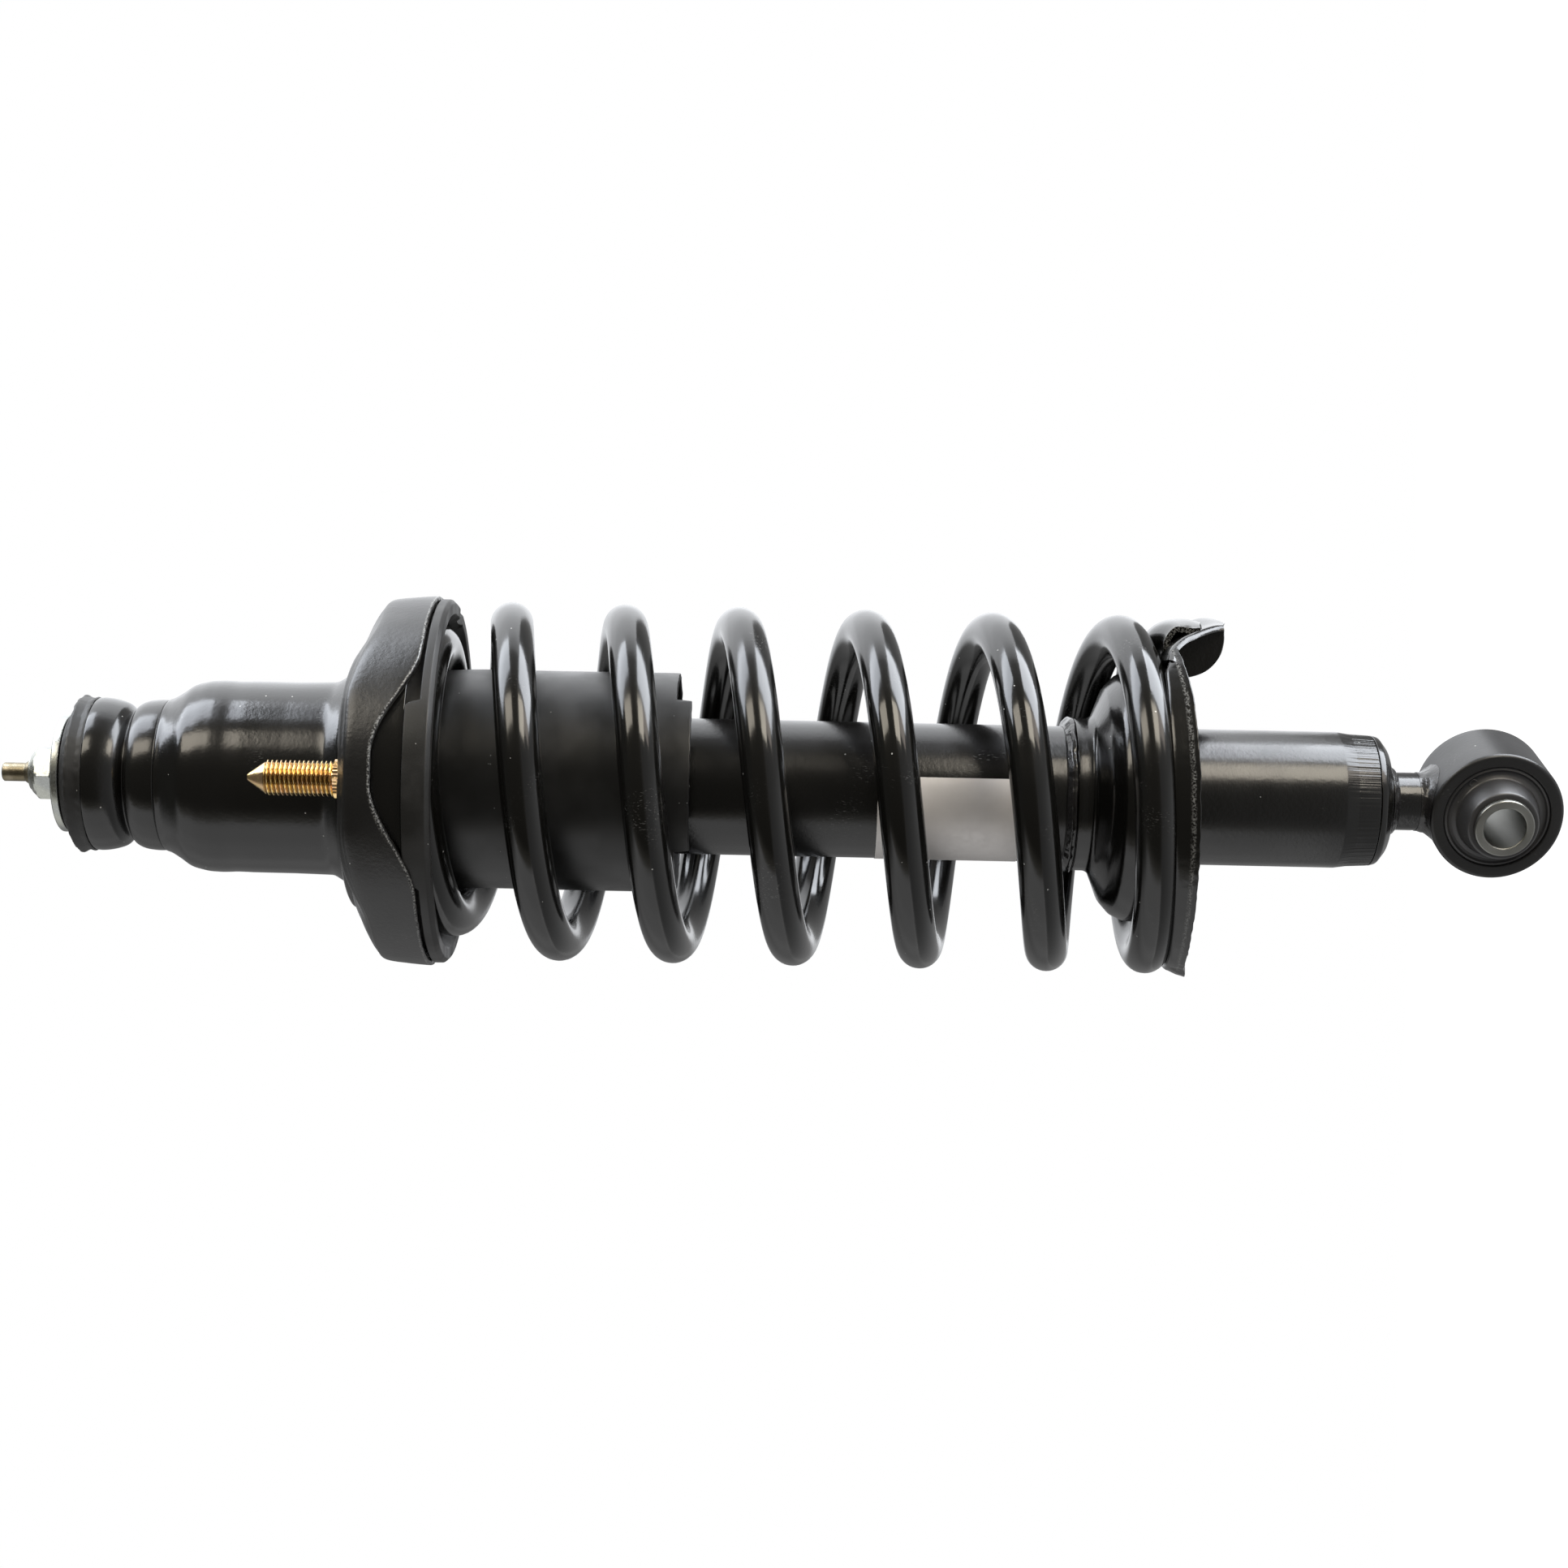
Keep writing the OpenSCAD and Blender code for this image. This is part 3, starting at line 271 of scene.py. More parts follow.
def plainMetal(s):
    material, tree, shader = newMaterial(s.name)
    grain = grainOf(tree, s, 3.0)
    patch = ramp(tree, noiseNode(tree, s.patchPerMm, 3.0), 0.35, 0.65)
    colour = blendColour(tree, patch, s.colour, s.colour2)
    if "grime" in s:  # painted shade: darker where the mesh marks a recess
        colour = blendColour(tree, markOf(tree, "grime"), colour, s.grime)
    feed(tree, shader, {"Base Color": colour, "Metallic": s.get("metallic", 1.0), "Normal": grain["Normal"],
                        "Roughness": ramp(tree, grain["Mask"], 0.3, 0.7, *s.rough)})
    return material


def turnedMetal(s):
    material, tree, shader = newMaterial(s.name)
    rings = use(tree, turningMarks, {"Rings per mm": s.ringsPerMm, "Depth": s.ringDepth})
    feed(tree, shader, {"Base Color": blendColour(tree, rings["Mask"], s.colour, s.colour2),
                        "Roughness": ramp(tree, rings["Mask"], 0.3, 0.7, *s.rough),
                        "Metallic": 1.0, "Normal": rings["Normal"]})
    return material


def softBlack(s):
    material, tree, shader = newMaterial(s.name)
    patch = noiseNode(tree, 0.09, 4.0)
    tone = blendColour(tree, ramp(tree, patch, 0.35, 0.75), s.colour, s.colour2)
    colour = blendColour(tree, specksOf(tree, s, 0.4, 0.06), tone, softDustColour)
    feed(tree, shader, {"Base Color": colour, "Roughness": ramp(tree, patch, 0.3, 0.7, *s.rough),
                        "IOR": s.ior, "Normal": grainOf(tree, s, 4.0)["Normal"]})
    return material


# colours with their spread, and depths in metres
black = Settings(colour=(0.0026, 0.0025, 0.0022, 1), colour2=(0.0036, 0.0034, 0.003, 1),
                 bare=(0.26, 0.26, 0.25, 1), grainPerMm=0.8, detail=2.0, grainDepth=0.00003)
glossPaint = paint(Settings(black, name="glossPaint", rough=(0.15, 0.22), specks=0.10, scuffs=0.2))
tubePaint = paint(Settings(black, name="tubePaint", rough=(0.2, 0.28), specks=0.12, scuffs=0.22))
satinPaint = paint(Settings(
    black, name="satinPaint", colour=(0.004, 0.0038, 0.004, 1), colour2=(0.0055, 0.0052, 0.0052, 1),
    rough=(0.34, 0.42), specks=0.12, scuffs=0.2))
springPaint = paint(Settings(
    black, name="springPaint", bare=(0.4, 0.4, 0.38, 1), rough=(0.12, 0.2),
    grainPerMm=0.5, detail=1.0, grainDepth=0.000012, specks=0.14, scuffs=0.26))
grainPaint = paint(Settings(
    name="grainPaint", colour=(0.005, 0.0048, 0.0047, 1), colour2=(0.0075, 0.0072, 0.007, 1),
    bare=(0.3, 0.3, 0.29, 1), rough=(0.28, 0.38), grainPerMm=0.75, detail=3.0, grainDepth=0.00008,
    specks=0.05, scuffs=0.2))
weldPaint = paint(Settings(
    name="weldPaint", colour=(0.008, 0.0078, 0.008, 1), colour2=(0.013, 0.012, 0.012, 1),
    bare=(0.4, 0.4, 0.38, 1), rough=(0.12, 0.24), grainPerMm=0.8, detail=3.0, grainDepth=0.00014,
    specks=0.1, scuffs=0.1))
coverPlastic = softBlack(Settings(
    name="coverPlastic", colour=(0.0055, 0.0054, 0.0052, 1), colour2=(0.009, 0.0088, 0.0085, 1),
    rough=(0.32, 0.44), ior=1.46, grainPerMm=2.2, grainDepth=0.00001, specks=0.12))
rubber = softBlack(Settings(
    name="rubber", colour=(0.007, 0.0068, 0.0062, 1), colour2=(0.0125, 0.012, 0.0115, 1),
    rough=(0.4, 0.58), ior=1.43, grainPerMm=1.8, grainDepth=0.00003, specks=0.1))
eyeRubber = softBlack(Settings(
    name="eyeRubber", colour=(0.023, 0.0228, 0.0235, 1), colour2=(0.034, 0.0335, 0.034, 1),
    rough=(0.3, 0.42), ior=1.52, grainPerMm=2.2, grainDepth=0.000012, specks=0.2))
foam = softBlack(Settings(
    name="foam", colour=(0.17, 0.15, 0.12, 1), colour2=(0.24, 0.22, 0.18, 1),
    rough=(0.8, 0.95), ior=1.4, grainPerMm=2.5, grainDepth=0.0002, specks=0.0))
slidingBand = softBlack(Settings(
    name="slidingBand", colour=(0.25, 0.18, 0.11, 1), colour2=(0.32, 0.24, 0.15, 1),
    rough=(0.35, 0.5), ior=1.5, grainPerMm=3.0, grainDepth=0.00001, specks=0.0))
brightZinc = plainMetal(Settings(
    name="brightZinc", colour=(0.33, 0.34, 0.33, 1), colour2=(0.42, 0.43, 0.39, 1),
    rough=(0.26, 0.4), grainPerMm=1.6, grainDepth=0.00001, patchPerMm=0.16))
# its last colour, a dark brown, is painted shade for the thread roots
yellowZinc = plainMetal(Settings(
    name="yellowZinc", colour=(0.92, 0.7, 0.31, 1), colour2=(0.84, 0.56, 0.33, 1),
    rough=(0.12, 0.26), grainPerMm=1.8, grainDepth=0.000012, patchPerMm=0.35, grime=(0.34, 0.21, 0.08, 1)))
rodSteel = plainMetal(Settings(
    name="rodSteel", colour=(0.15, 0.128, 0.085, 1), colour2=(0.22, 0.19, 0.135, 1),
    rough=(0.3, 0.45), grainPerMm=2.5, grainDepth=0.00002, patchPerMm=0.3))
innerSteel = plainMetal(Settings(
    name="innerSteel", colour=(0.42, 0.42, 0.43, 1), colour2=(0.5, 0.5, 0.51, 1),
    rough=(0.25, 0.4), grainPerMm=2.0, grainDepth=0.00001, patchPerMm=0.1))
sinteredIron = plainMetal(Settings(
    name="sinteredIron", colour=(0.24, 0.24, 0.25, 1), colour2=(0.3, 0.3, 0.3, 1),
    rough=(0.45, 0.62), grainPerMm=4.0, grainDepth=0.00004, patchPerMm=0.2))
foil = plainMetal(Settings(
    name="foil", colour=(0.62, 0.592, 0.57, 1), colour2=(0.68, 0.652, 0.63, 1), metallic=0.4,
    rough=(0.4, 0.5), grainPerMm=0.8, grainDepth=0.000015, patchPerMm=0.08))
sleeveSteel = turnedMetal(Settings(
    name="sleeveSteel", colour=(0.16, 0.16, 0.15, 1), colour2=(0.26, 0.26, 0.24, 1),
    rough=(0.28, 0.45), ringsPerMm=3.5, ringDepth=0.00003))
print("materials made")


# mesh helpers
def ease(t):
    t = max(0.0, min(1.0, t))
    return t * t * (3 - 2 * t)


def between(a, b, t):
    return a + (b - a) * t


def rough(x, y, z, size, seed=0.0):
    return noise.noise(Vector((x / size + seed, y / size - seed, z / size + 2 * seed)))


def cornerArc(before, corner, after, radius, step=12):
    b, c, a = Vector(before), Vector(corner), Vector(after)
    u, w = b - c, a - c
    room = 0.48 * min(u.length, w.length)
    u.normalize()
    w.normalize()
    turn = math.pi - u.angle(w)
    if radius <= 0 or turn < 0.02 or room < 1e-6:
        return [tuple(c)]
    cut = min(radius * math.tan(turn / 2), room)
    r = cut / math.tan(turn / 2)
    centre = c + (u + w).normalized() * (r / math.cos(turn / 2))
    first, last = c + u * cut - centre, c + w * cut - centre
    count = max(2, round(math.degrees(turn) / step))
    return [tuple(centre + (first * math.sin((1 - k / count) * turn) + last * math.sin(k / count * turn))
                  / math.sin(turn)) for k in range(count + 1)]


def roughRound(angle, radius, z, size, seed):
    a = math.radians(angle)
    return rough(radius * math.cos(a), radius * math.sin(a), z, size, seed)


# a line of (radius, height, rounding) points with its corners rounded
def roundLine(points, closed=True):
    line = []
    last = len(points) - 1
    for i, p in enumerate(points):
        if (not closed and i in (0, last)) or len(p) < 3:
            line.append((p[0], p[1]))
        else:
            line += cornerArc(points[i - 1][:2], p[:2], points[(i + 1) % len(points)][:2], p[2])
    return line


def spread(line, longest, closed=True):
    out = []
    for i, p in enumerate(line):
        out.append(p)
        if i == len(line) - 1 and not closed:
            break
        q = line[(i + 1) % len(line)]
        parts = int(math.dist(p, q) / longest)
        out += [(between(p[0], q[0], k / (parts + 1)), between(p[1], q[1], k / (parts + 1)))
                for k in range(1, parts + 1)]
    return out


def smoothCurve(points, parts):
    out = []
    last = len(points) - 1
    for i in range(last):
        p0, p1 = points[max(i - 1, 0)], points[i]
        p2, p3 = points[i + 1], points[min(i + 2, last)]
        for k in range(parts):
            t = k / parts
            out.append(tuple(0.5 * (2 * b + (c - a) * t + (2 * a - 5 * b + 4 * c - d) * t * t
                             + (3 * b - a - 3 * c + d) * t ** 3) for a, b, c, d in zip(p0, p1, p2, p3)))
    out.append(tuple(points[last]))
    return out


def otherSide(line, thickness):
    out = []
    for i, p in enumerate(line):
        q = Vector(line[min(i + 1, len(line) - 1)]) - Vector(line[max(i - 1, 0)])
        q.normalize()
        out.append((p[0] + q[1] * thickness, p[1] - q[0] * thickness))
    return out


def gridFaces(columns, rows, wrapColumns=True, wrapRows=True):
    faces = []
    for s in range(columns if wrapColumns else columns - 1):
        t = (s + 1) % columns
        for i in range(rows if wrapRows else rows - 1):
            j = (i + 1) % rows
            faces.append((s * rows + i, s * rows + j, t * rows + j, t * rows + i))
    return faces


# the two ends of a strip whose columns run out on one side and back on the other
def stripEnds(columns, rows):
    return [(c + i, c + i + 1, c + rows - 2 - i, c + rows - 1 - i)
            for c in (0, (columns - 1) * rows) for i in range(rows // 2 - 1)]


# columns of (radius, height) points round Z; column gives one of them at its angle in degrees
def sweep(column, columns, closed=True, span=None):
    points = []
    for k in range(columns):
        angle = between(*span, k / (columns - 1)) if span else 360 * k / columns
        a = math.radians(angle)
        points += [(r * math.cos(a), r * math.sin(a), z) for r, z in column(angle)]
    rows = len(points) // columns
    if span:
        return points, gridFaces(columns, rows, False, True) + stripEnds(columns, rows)
    return points, gridFaces(columns, rows, True, closed)


# turns a line round Z; bend may move each point, given its angle, radius and height
def lathe(line, columns=160, closed=True, bend=None):
    return sweep(lambda angle: [bend(angle, r, z) if bend else (r, z) for r, z in line], columns, closed)


def moved(shape, matrix):
    return [tuple(matrix @ Vector(p)) for p in shape[0]], shape[1]


def joined(*shapes):
    points, faces = [], []
    for p, f in shapes:
        faces += [tuple(i + len(points) for i in face) for face in f]
        points += p
    return points, faces


# each piece is named after the node that it replaces; sharp is in degrees
def addPiece(name, shape, material, body, sharp=32, marks=None):
    nodes = ["".join("_" + c.lower() if c.isupper() else c for c in name)]
    mesh = bpy.data.meshes.new(name)
    mesh.from_pydata([(x * mm, y * mm, z * mm) for x, y, z in shape[0]], [], shape[1])
    bm = bmesh.new()
    bm.from_mesh(mesh)
    bmesh.ops.remove_doubles(bm, verts=bm.verts, dist=2e-7)
    bmesh.ops.dissolve_degenerate(bm, edges=bm.edges, dist=1e-8)
    bmesh.ops.recalc_face_normals(bm, faces=bm.faces)
    bm.to_mesh(mesh)
    bm.free()
    mesh.shade_smooth()
    mesh.set_sharp_from_angle(angle=math.radians(sharp))
    for label, measure in (marks or {}).items():
        layer = mesh.attributes.new(label, "FLOAT", "POINT")
        layer.data.foreach_set("value", [measure(*(v.co * 1000)) for v in mesh.vertices])
    mesh.materials.append(material)
    piece = bpy.data.objects.new(name, mesh)
    bpy.context.scene.collection.objects.link(piece)
    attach(piece, body)
    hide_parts(*nodes)
    return piece


# rod, nut and washer
rodNut = Settings(seat=90.5, flats=14.7, hex=5.2, cone=2.4, bore=5.0, turn=-7)


def makeNut(s):
    half, top = s.flats / 2, s.hex + s.cone
    limits = [(0, half + 0.25), (0.25, half + 0.7), (0.6, 99), (s.hex - 1.0, 99), (s.hex - 0.2, half + 0.55),
              (s.hex + 0.4, half - 0.15), (s.hex + 1.4, half - 1.05), (top - 0.3, half - 2.05),
              (top, s.bore + 0.1)]
    bore = [(s.bore - 0.15, s.seat + top - 0.3), (s.bore, s.seat)]

    def column(angle):
        flat = half / math.cos(math.radians((angle + 30) % 60 - 30))
        return [(min(flat, limit), s.seat + z) for z, limit in limits] + bore
    shape = moved(sweep(column, 144), Matrix.Rotation(math.radians(s.turn), 3, "Z"))
    addPiece("rodNut", shape, brightZinc, "upper_mount", sharp=18)


topWasher = Settings(low=86.1, thick=2.4, dish=2.0, radius=17.3, flat=9.35, hole=5.05)


def makeWasher(s):
    low, top = s.low, s.low + s.thick
    line = roundLine([
        (s.hole, low + s.dish), (s.flat, low + s.dish, 1.2), (s.radius - 2, low, 1.5),
        (s.radius, low, 0.5), (s.radius, top, 0.7), (s.radius - 2, top, 1.5),
        (s.flat, top + s.dish, 1.5), (s.hole, top + s.dish)])
    addPiece("topWasher", lathe(line), brightZinc, "upper_mount")


pistonRod = Settings(top=106.6, tip=99.2, tipRadius=2.75, thread=5.0, pitch=1.25, nutTop=98.1,
                     threadLow=88.0, shoulder=48.4, radius=6.25, valve=-86.4, spindle=4.5, low=-109.5,
                     depth=0.7)


def makeRod(s):
    step = s.pitch / 10
    thread = []
    z = s.threadLow
    while z < s.nutTop - 1.1:
        thread.append((s.thread, z))
        z += step
    line = roundLine([
        (0, s.low), (s.spindle, s.low, 0.4), (s.spindle, s.valve, 0.2),
        (s.radius, s.valve, 0.3), (s.radius, s.shoulder, 0.4), (s.thread - 0.1, s.shoulder, 0.1),
        (s.thread - 0.1, s.threadLow - 0.6)], closed=False)
    line += thread + roundLine([
        (s.thread - 0.1, s.nutTop - 1.1), (s.thread - 1.1, s.nutTop + 0.1, 0.3),
        (s.tipRadius + 0.5, s.tip + 0.1, 0.5), (s.tipRadius, s.tip + 0.8, 0.5),
        (s.tipRadius, s.top - 0.4, 0.2), (s.tipRadius - 0.4, s.top, 0.2), (0, s.top)], closed=False)

    def cutThread(angle, r, z):
        if s.threadLow <= z < s.nutTop - 1.1 and abs(r - s.thread) < 0.01:
            turn = (z / s.pitch - angle / 360) % 1
            return r - s.depth * max(0.0, min(1.0, 1.3 * abs(2 * turn - 1) - 0.15)), z
        return r, z
    addPiece("pistonRod", lathe(line, 96, False, cutThread), rodSteel, "upper_mount")


# upper mount
upperBush = Settings(hole=6.6, floor=68.1, neck=17.6, wall=19.5, cupTop=81.7, cup=21.95, lip=22.75,
                     skirt=22.5, skirtLow=78.3, washer=17.3, top=86.0, ridges=4, ridge=0.22,
                     wave=0.2, fineWave=0.12, rise=0.25, seam=0.5)


def makeUpperBush(s):
    line = [(s.hole, s.floor), (s.neck, s.floor), (s.wall, s.floor + 4), (s.wall, s.cupTop),
            (s.cup, s.cupTop, 0.2), (s.cup, s.skirtLow + 0.1), (s.skirt - 0.1, s.skirtLow, 0.15),
            (s.skirt, s.skirtLow + 0.5, 0.2), (s.skirt - 0.2, s.cupTop - 1.6, 0.5),
            (s.skirt + 0.05, s.cupTop - 0.2, 0.5), (s.lip, s.cupTop + 0.7, 0.3),
            (s.lip - 0.1, s.cupTop + 1.3, 0.2), (s.lip - 1.1, s.cupTop + 1.5, 0.3)]
    first, last = (s.lip - 1.3, s.cupTop + 1.6), (s.washer + 0.5, s.top - 0.4)
    for k in range(2 * s.ridges + 1):
        t = k / (2 * s.ridges)
        line.append((between(first[0], last[0], t), between(first[1], last[1], t) - s.ridge * (k % 2), 0.3))
    line += [(s.washer - 1.8, s.top, 0.3), (s.washer - 6, s.top + 1.5), (s.hole, s.top + 1.5)]
    line = spread(roundLine(line), 0.8)

    def flash(angle, r, z):  # the moulded lip is uneven and stands out at its parting lines
        share = ease((r - s.washer - 1) / 3) * ease((z - s.skirtLow + 0.5) / 1)
        wave = roughRound(angle, 20, 0, 6, 3.1)
        fine = roughRound(angle, 20, z, 1.6, 7.7)
        seam = ease(1 - abs((angle + 90) % 180 - 90) / 9) * ease((r - s.skirt + 0.1) / 0.3)
        return (r + share * (s.wave * wave + s.fineWave * fine + s.seam * seam),
                z + share * s.rise * fine)
    addPiece("upperBush", lathe(line, 240, True, flash), rubber, "upper_mount")


mountTower = Settings(
    wall=2.0, foot=37.8, barrelFoot=28.3, barrel=28.15, inside=27.6, hole=8.6, groove=67.0,
    cupTop=81.6, cup=21.9, grooveInside=17.4, waistInside=20.1, wave=0.07,
    side=[(28.15, 32.0), (28.04, 36.4), (28.15, 39.0), (28.2, 41.0), (28.15, 42.4), (28.0, 44.6),
          (27.6, 46.7), (26.7, 49.7), (24.7, 52.7), (23.0, 55.5), (22.35, 57.2), (21.95, 57.6),
          (22.1, 58.0), (22.13, 60.2), (21.75, 63.3), (20.9, 65.4), (19.9, 66.4), (18.5, 66.9),
          (18.4, 67.5), (19.6, 68.5), (21.0, 70.0), (22.0, 73.0), (22.45, 76.0), (22.35, 78.0),
          (21.9, 78.8)])


def makeTower(s):
    w, g, top = s.wall, s.groove, s.cupTop
    lower = roundLine([
        (s.inside, 0.05), (s.foot, 0.05, 0.3), (s.foot, w * 0.7, 0.7), (s.foot - 1.2, w + 0.1, 1.0),
        (s.barrelFoot + 3.2, w + 0.9, 3.0), (s.barrelFoot + 0.1, w + 6, 4), (s.barrel, 20, 30),
        (s.barrel, 30)], closed=False)
    upper = roundLine([
        (s.cup, top - 0.6), (s.cup - 0.3, top), (s.cup - w, top, 0.4), (s.cup - w, g + 5, 2),
        (s.grooveInside, g + w / 2, 1), (s.hole, g + w / 2, 0.3), (s.hole, g - w / 2, 0.3),
        (s.grooveInside, g - w / 2, 1.0), (s.waistInside, g - 5, 2), (s.waistInside, g - 10, 3),
        (s.barrel - w - 2.6, 50, 3), (s.barrel - w, 41.5, 3), (s.inside, 7, 5)], closed=False)
    line = spread(lower + smoothCurve(s.side, 4) + upper, 1.2)

    def pressed(angle, r, z):  # drawn steel is never quite round
        return r + s.wave * roughRound(angle, 30, z, 17, 1.3) * ease((z - 3) / 8), z
    addPiece("mountTower", lathe(line, 256, True, pressed), glossPaint, "upper_mount",
             sharp=40)


mountFlange = Settings(hole=27.6, foot=37.8, radius=54.3, wall=2.5, deep=21.4, shallow=9.6, flat=4,
                       end=40, turn=3.5, brow=8.6, shelf=49.0, tear=0.3, wideTear=0.25, wave=0.12, bare=0.7)


def studOffset(angle, s):
    return abs(abs((angle - s.turn + 360) % 180 - 90))


def skirtEdge(angle, s):
    t = ease((studOffset(angle, s) - s.flat) / (s.end - s.flat))
    return -between(s.shallow, s.deep, t)


def flangeLine(angle, s):
    p = ease(1 - (studOffset(angle, s) - 18) / 40)
    edge, brow, r = skirtEdge(angle, s), -between(s.brow, s.shallow * 0.3, p), s.radius
    return [(s.hole, 0.0), (s.foot, 0.0),
            (between(s.foot + 6.4, s.shelf - 4, p), brow * between(0.3, 0, p)),
            (between(r - 5.5, s.shelf + 1, p), brow * between(0.58, 0.02, p)),
            (between(r - 2.8, s.shelf + 3, p), brow * between(0.8, 0.45, p)),
            (between(r - 1.3, r - 0.6, p), brow),
            (between(r - 0.5, r - 0.2, p), between(brow, edge, 0.45)), (r, edge)]


def makeFlange(s):
    r = s.radius

    def column(angle):
        outer = smoothCurve(flangeLine(angle, s), 6)
        inner = otherSide(outer, s.wall)
        inner[0] = (s.hole, -s.wall)
        tear = s.tear * roughRound(angle, 54, 0, 2.2, 4.4) + s.wideTear * roughRound(angle, 54, 0, 7, 1.7)
        edgeZ = outer[-1][1] + tear
        cut = [(r - 0.05, edgeZ + 0.35), (r - 0.3, edgeZ), (r - s.wall / 2, edgeZ - 0.12 + 0.3 * tear),
               (r - s.wall + 0.3, edgeZ + 0.05), (r - s.wall, edgeZ + 0.4)]
        line = []
        for pr, pz in outer[:-1] + cut + inner[-2::-1]:
            wave = s.wave * roughRound(angle, pr, pz, 9, 2.2) * ease((pr - 40) / 6)
            line.append((pr + wave, pz + wave))
        return line

    def bareEdge(x, y, z):
        edge = skirtEdge(math.degrees(math.atan2(y, x)), s)
        share = ease(1.5 - abs(z - 0.35 - edge) / 0.3) * s.bare
        return share if math.hypot(x, y) > r - 4 else 0.0
    addPiece("mountFlange", sweep(column, 300), grainPaint, "upper_mount", sharp=50,
             marks={"worn": bareEdge})


mountStud = Settings(spacing=88.0, radius=5.0, reach=25.7, tip=5.0, tipRadius=0.9, pitch=1.25,
                     depth=0.72, collar=5.4, collarHeight=1.6, knurls=30, knurl=0.28, head=6.5,
                     headHeight=2.6, headFlat=5.4, sheet=2.5)


def makeStuds(s):
    low = -s.sheet - s.headHeight
    shank, threadTop = s.collarHeight + 0.2, s.reach - s.tip
    rows = [(0, low), (s.head, low), (s.head, -s.sheet), (s.radius, -s.sheet), (s.radius, 0.0),
            (s.collar, 0.0), (s.collar, 0.5), (s.collar, s.collarHeight - 0.2),
            (s.radius - 0.5, s.collarHeight)]
    z = shank
    while z < threadTop:
        rows.append((s.radius, z))
        z += s.pitch / 12
    rows += [(s.radius - s.depth, threadTop + 0.3), (s.tipRadius + 0.3, s.reach - 0.3),
             (s.tipRadius, s.reach), (0, s.reach)]

    def cutThread(angle, r, z):
        if z >= shank and r == s.radius:
            turn = (z / s.pitch - angle / 360) % 1
            fade = ease((threadTop - z) / 0.9 + 0.25)
            crest = r - (1 - fade) * 0.6
            return crest - s.depth * fade * max(0.0, min(1.0, 1.35 * abs(2 * turn - 1) - 0.2)), z
        if r == s.collar:
            return r - s.knurl * abs(2 * ((angle / 360 * s.knurls) % 1) - 1), z
        if r == s.head and math.cos(math.radians(angle - 90)) > 0:
            return min(r, s.headFlat / math.cos(math.radians(angle - 90))), z
        return r, z
    stud = lathe(rows, 180, False, cutThread)
    place = Matrix.Translation((0, s.spacing / 2, 0))
    pair = joined(moved(stud, place), moved(stud, Matrix.Rotation(math.pi, 4, "Z") @ place))

    # painted shade: the deeper into a thread root, the darker the zinc is painted
    def threadRootShade(x, y, z):
        depth = (s.radius - math.hypot(x, abs(y) - s.spacing / 2)) / s.depth
        return ease(1.4 * depth - 0.2) if shank < z < threadTop else 0.0
    addPiece("mountStuds", pair, yellowZinc, "upper_mount", sharp=24,
             marks={"grime": threadRootShade})


seatCup = Settings(inside=33.0, roof=-5.1, skirt=51.2, low=-18.0, wall=1.8)


def makeSeatCup(s):
    r, z, w = s.skirt, s.roof, s.wall
    line = spread(roundLine([
        (s.inside, z, 0.3), (r - 3.2, z, 2.4), (r, z - 3.6, 3.0), (r, s.low, 0.4),
        (r - w, s.low, 0.4), (r - w, z - 4.2, 1.6), (r - 4.4, z - w, 1.6), (s.inside, z - w, 0.3)]), 1.5)
    addPiece("seatCup", lathe(line, 200), glossPaint, "upper_mount", sharp=40)


isolator = Settings(inside=33.0, roof=-7.0, plug=49.3, radius=53.4, ledge=-22.2, low=-25.9,
                    channel=46.6, mouth=49.2, mouthZ=-22.5, channelTop=-13.9, bandTop=-18.1,
                    bandHalf=29.0, turn=-4.8, notch=14.0, notchHalf=3.0, notchDeep=2.2, wave=0.08)


def makeIsolator(s):
    line = spread(roundLine([
        (s.inside, s.roof), (s.plug - 10, s.roof, 2), (s.plug - 5.6, s.roof - 2.5, 3),
        (s.plug - 1.9, s.roof - 5.4, 3), (s.plug, s.roof - 7.8, 2), (s.plug, s.ledge, 0.6),
        (s.radius, s.ledge, 0.5), (s.radius, s.low + 1.2, 0.8), (s.radius - 1.2, s.low, 0.6),
        (s.mouth, s.low, 0.6), (s.channel + 0.4, s.mouthZ, 3), (s.channel, s.channelTop, 4),
        (s.inside, s.channelTop, 0.5)]), 1.2)

    def raised(angle, r, z):  # the band stands up under each scallop
        share = ease((s.bandHalf - studOffset(angle, s)) / 1.2 + 0.5)
        if r > s.plug + 0.3 and z > s.ledge - 1.0:
            z += share * (s.bandTop - s.ledge)
        if z < s.low + 1.0:
            z += s.notchDeep * ease((s.notchHalf - abs(angle - s.notch)) / 0.8 + 0.5)
        return r + s.wave * roughRound(angle, 50, z, 8, 5.0), z
    addPiece("springIsolator", lathe(line, 360, True, raised), rubber, "upper_mount", sharp=45)


dustCover = Settings(radius=32.2, wall=1.8, top=-2.6, low=-92.3, tongue=4.3, tongueFrom=-127.5,
                     tongueTo=-42.0, lean=0.9, ragged=0.25, dent=0.16)


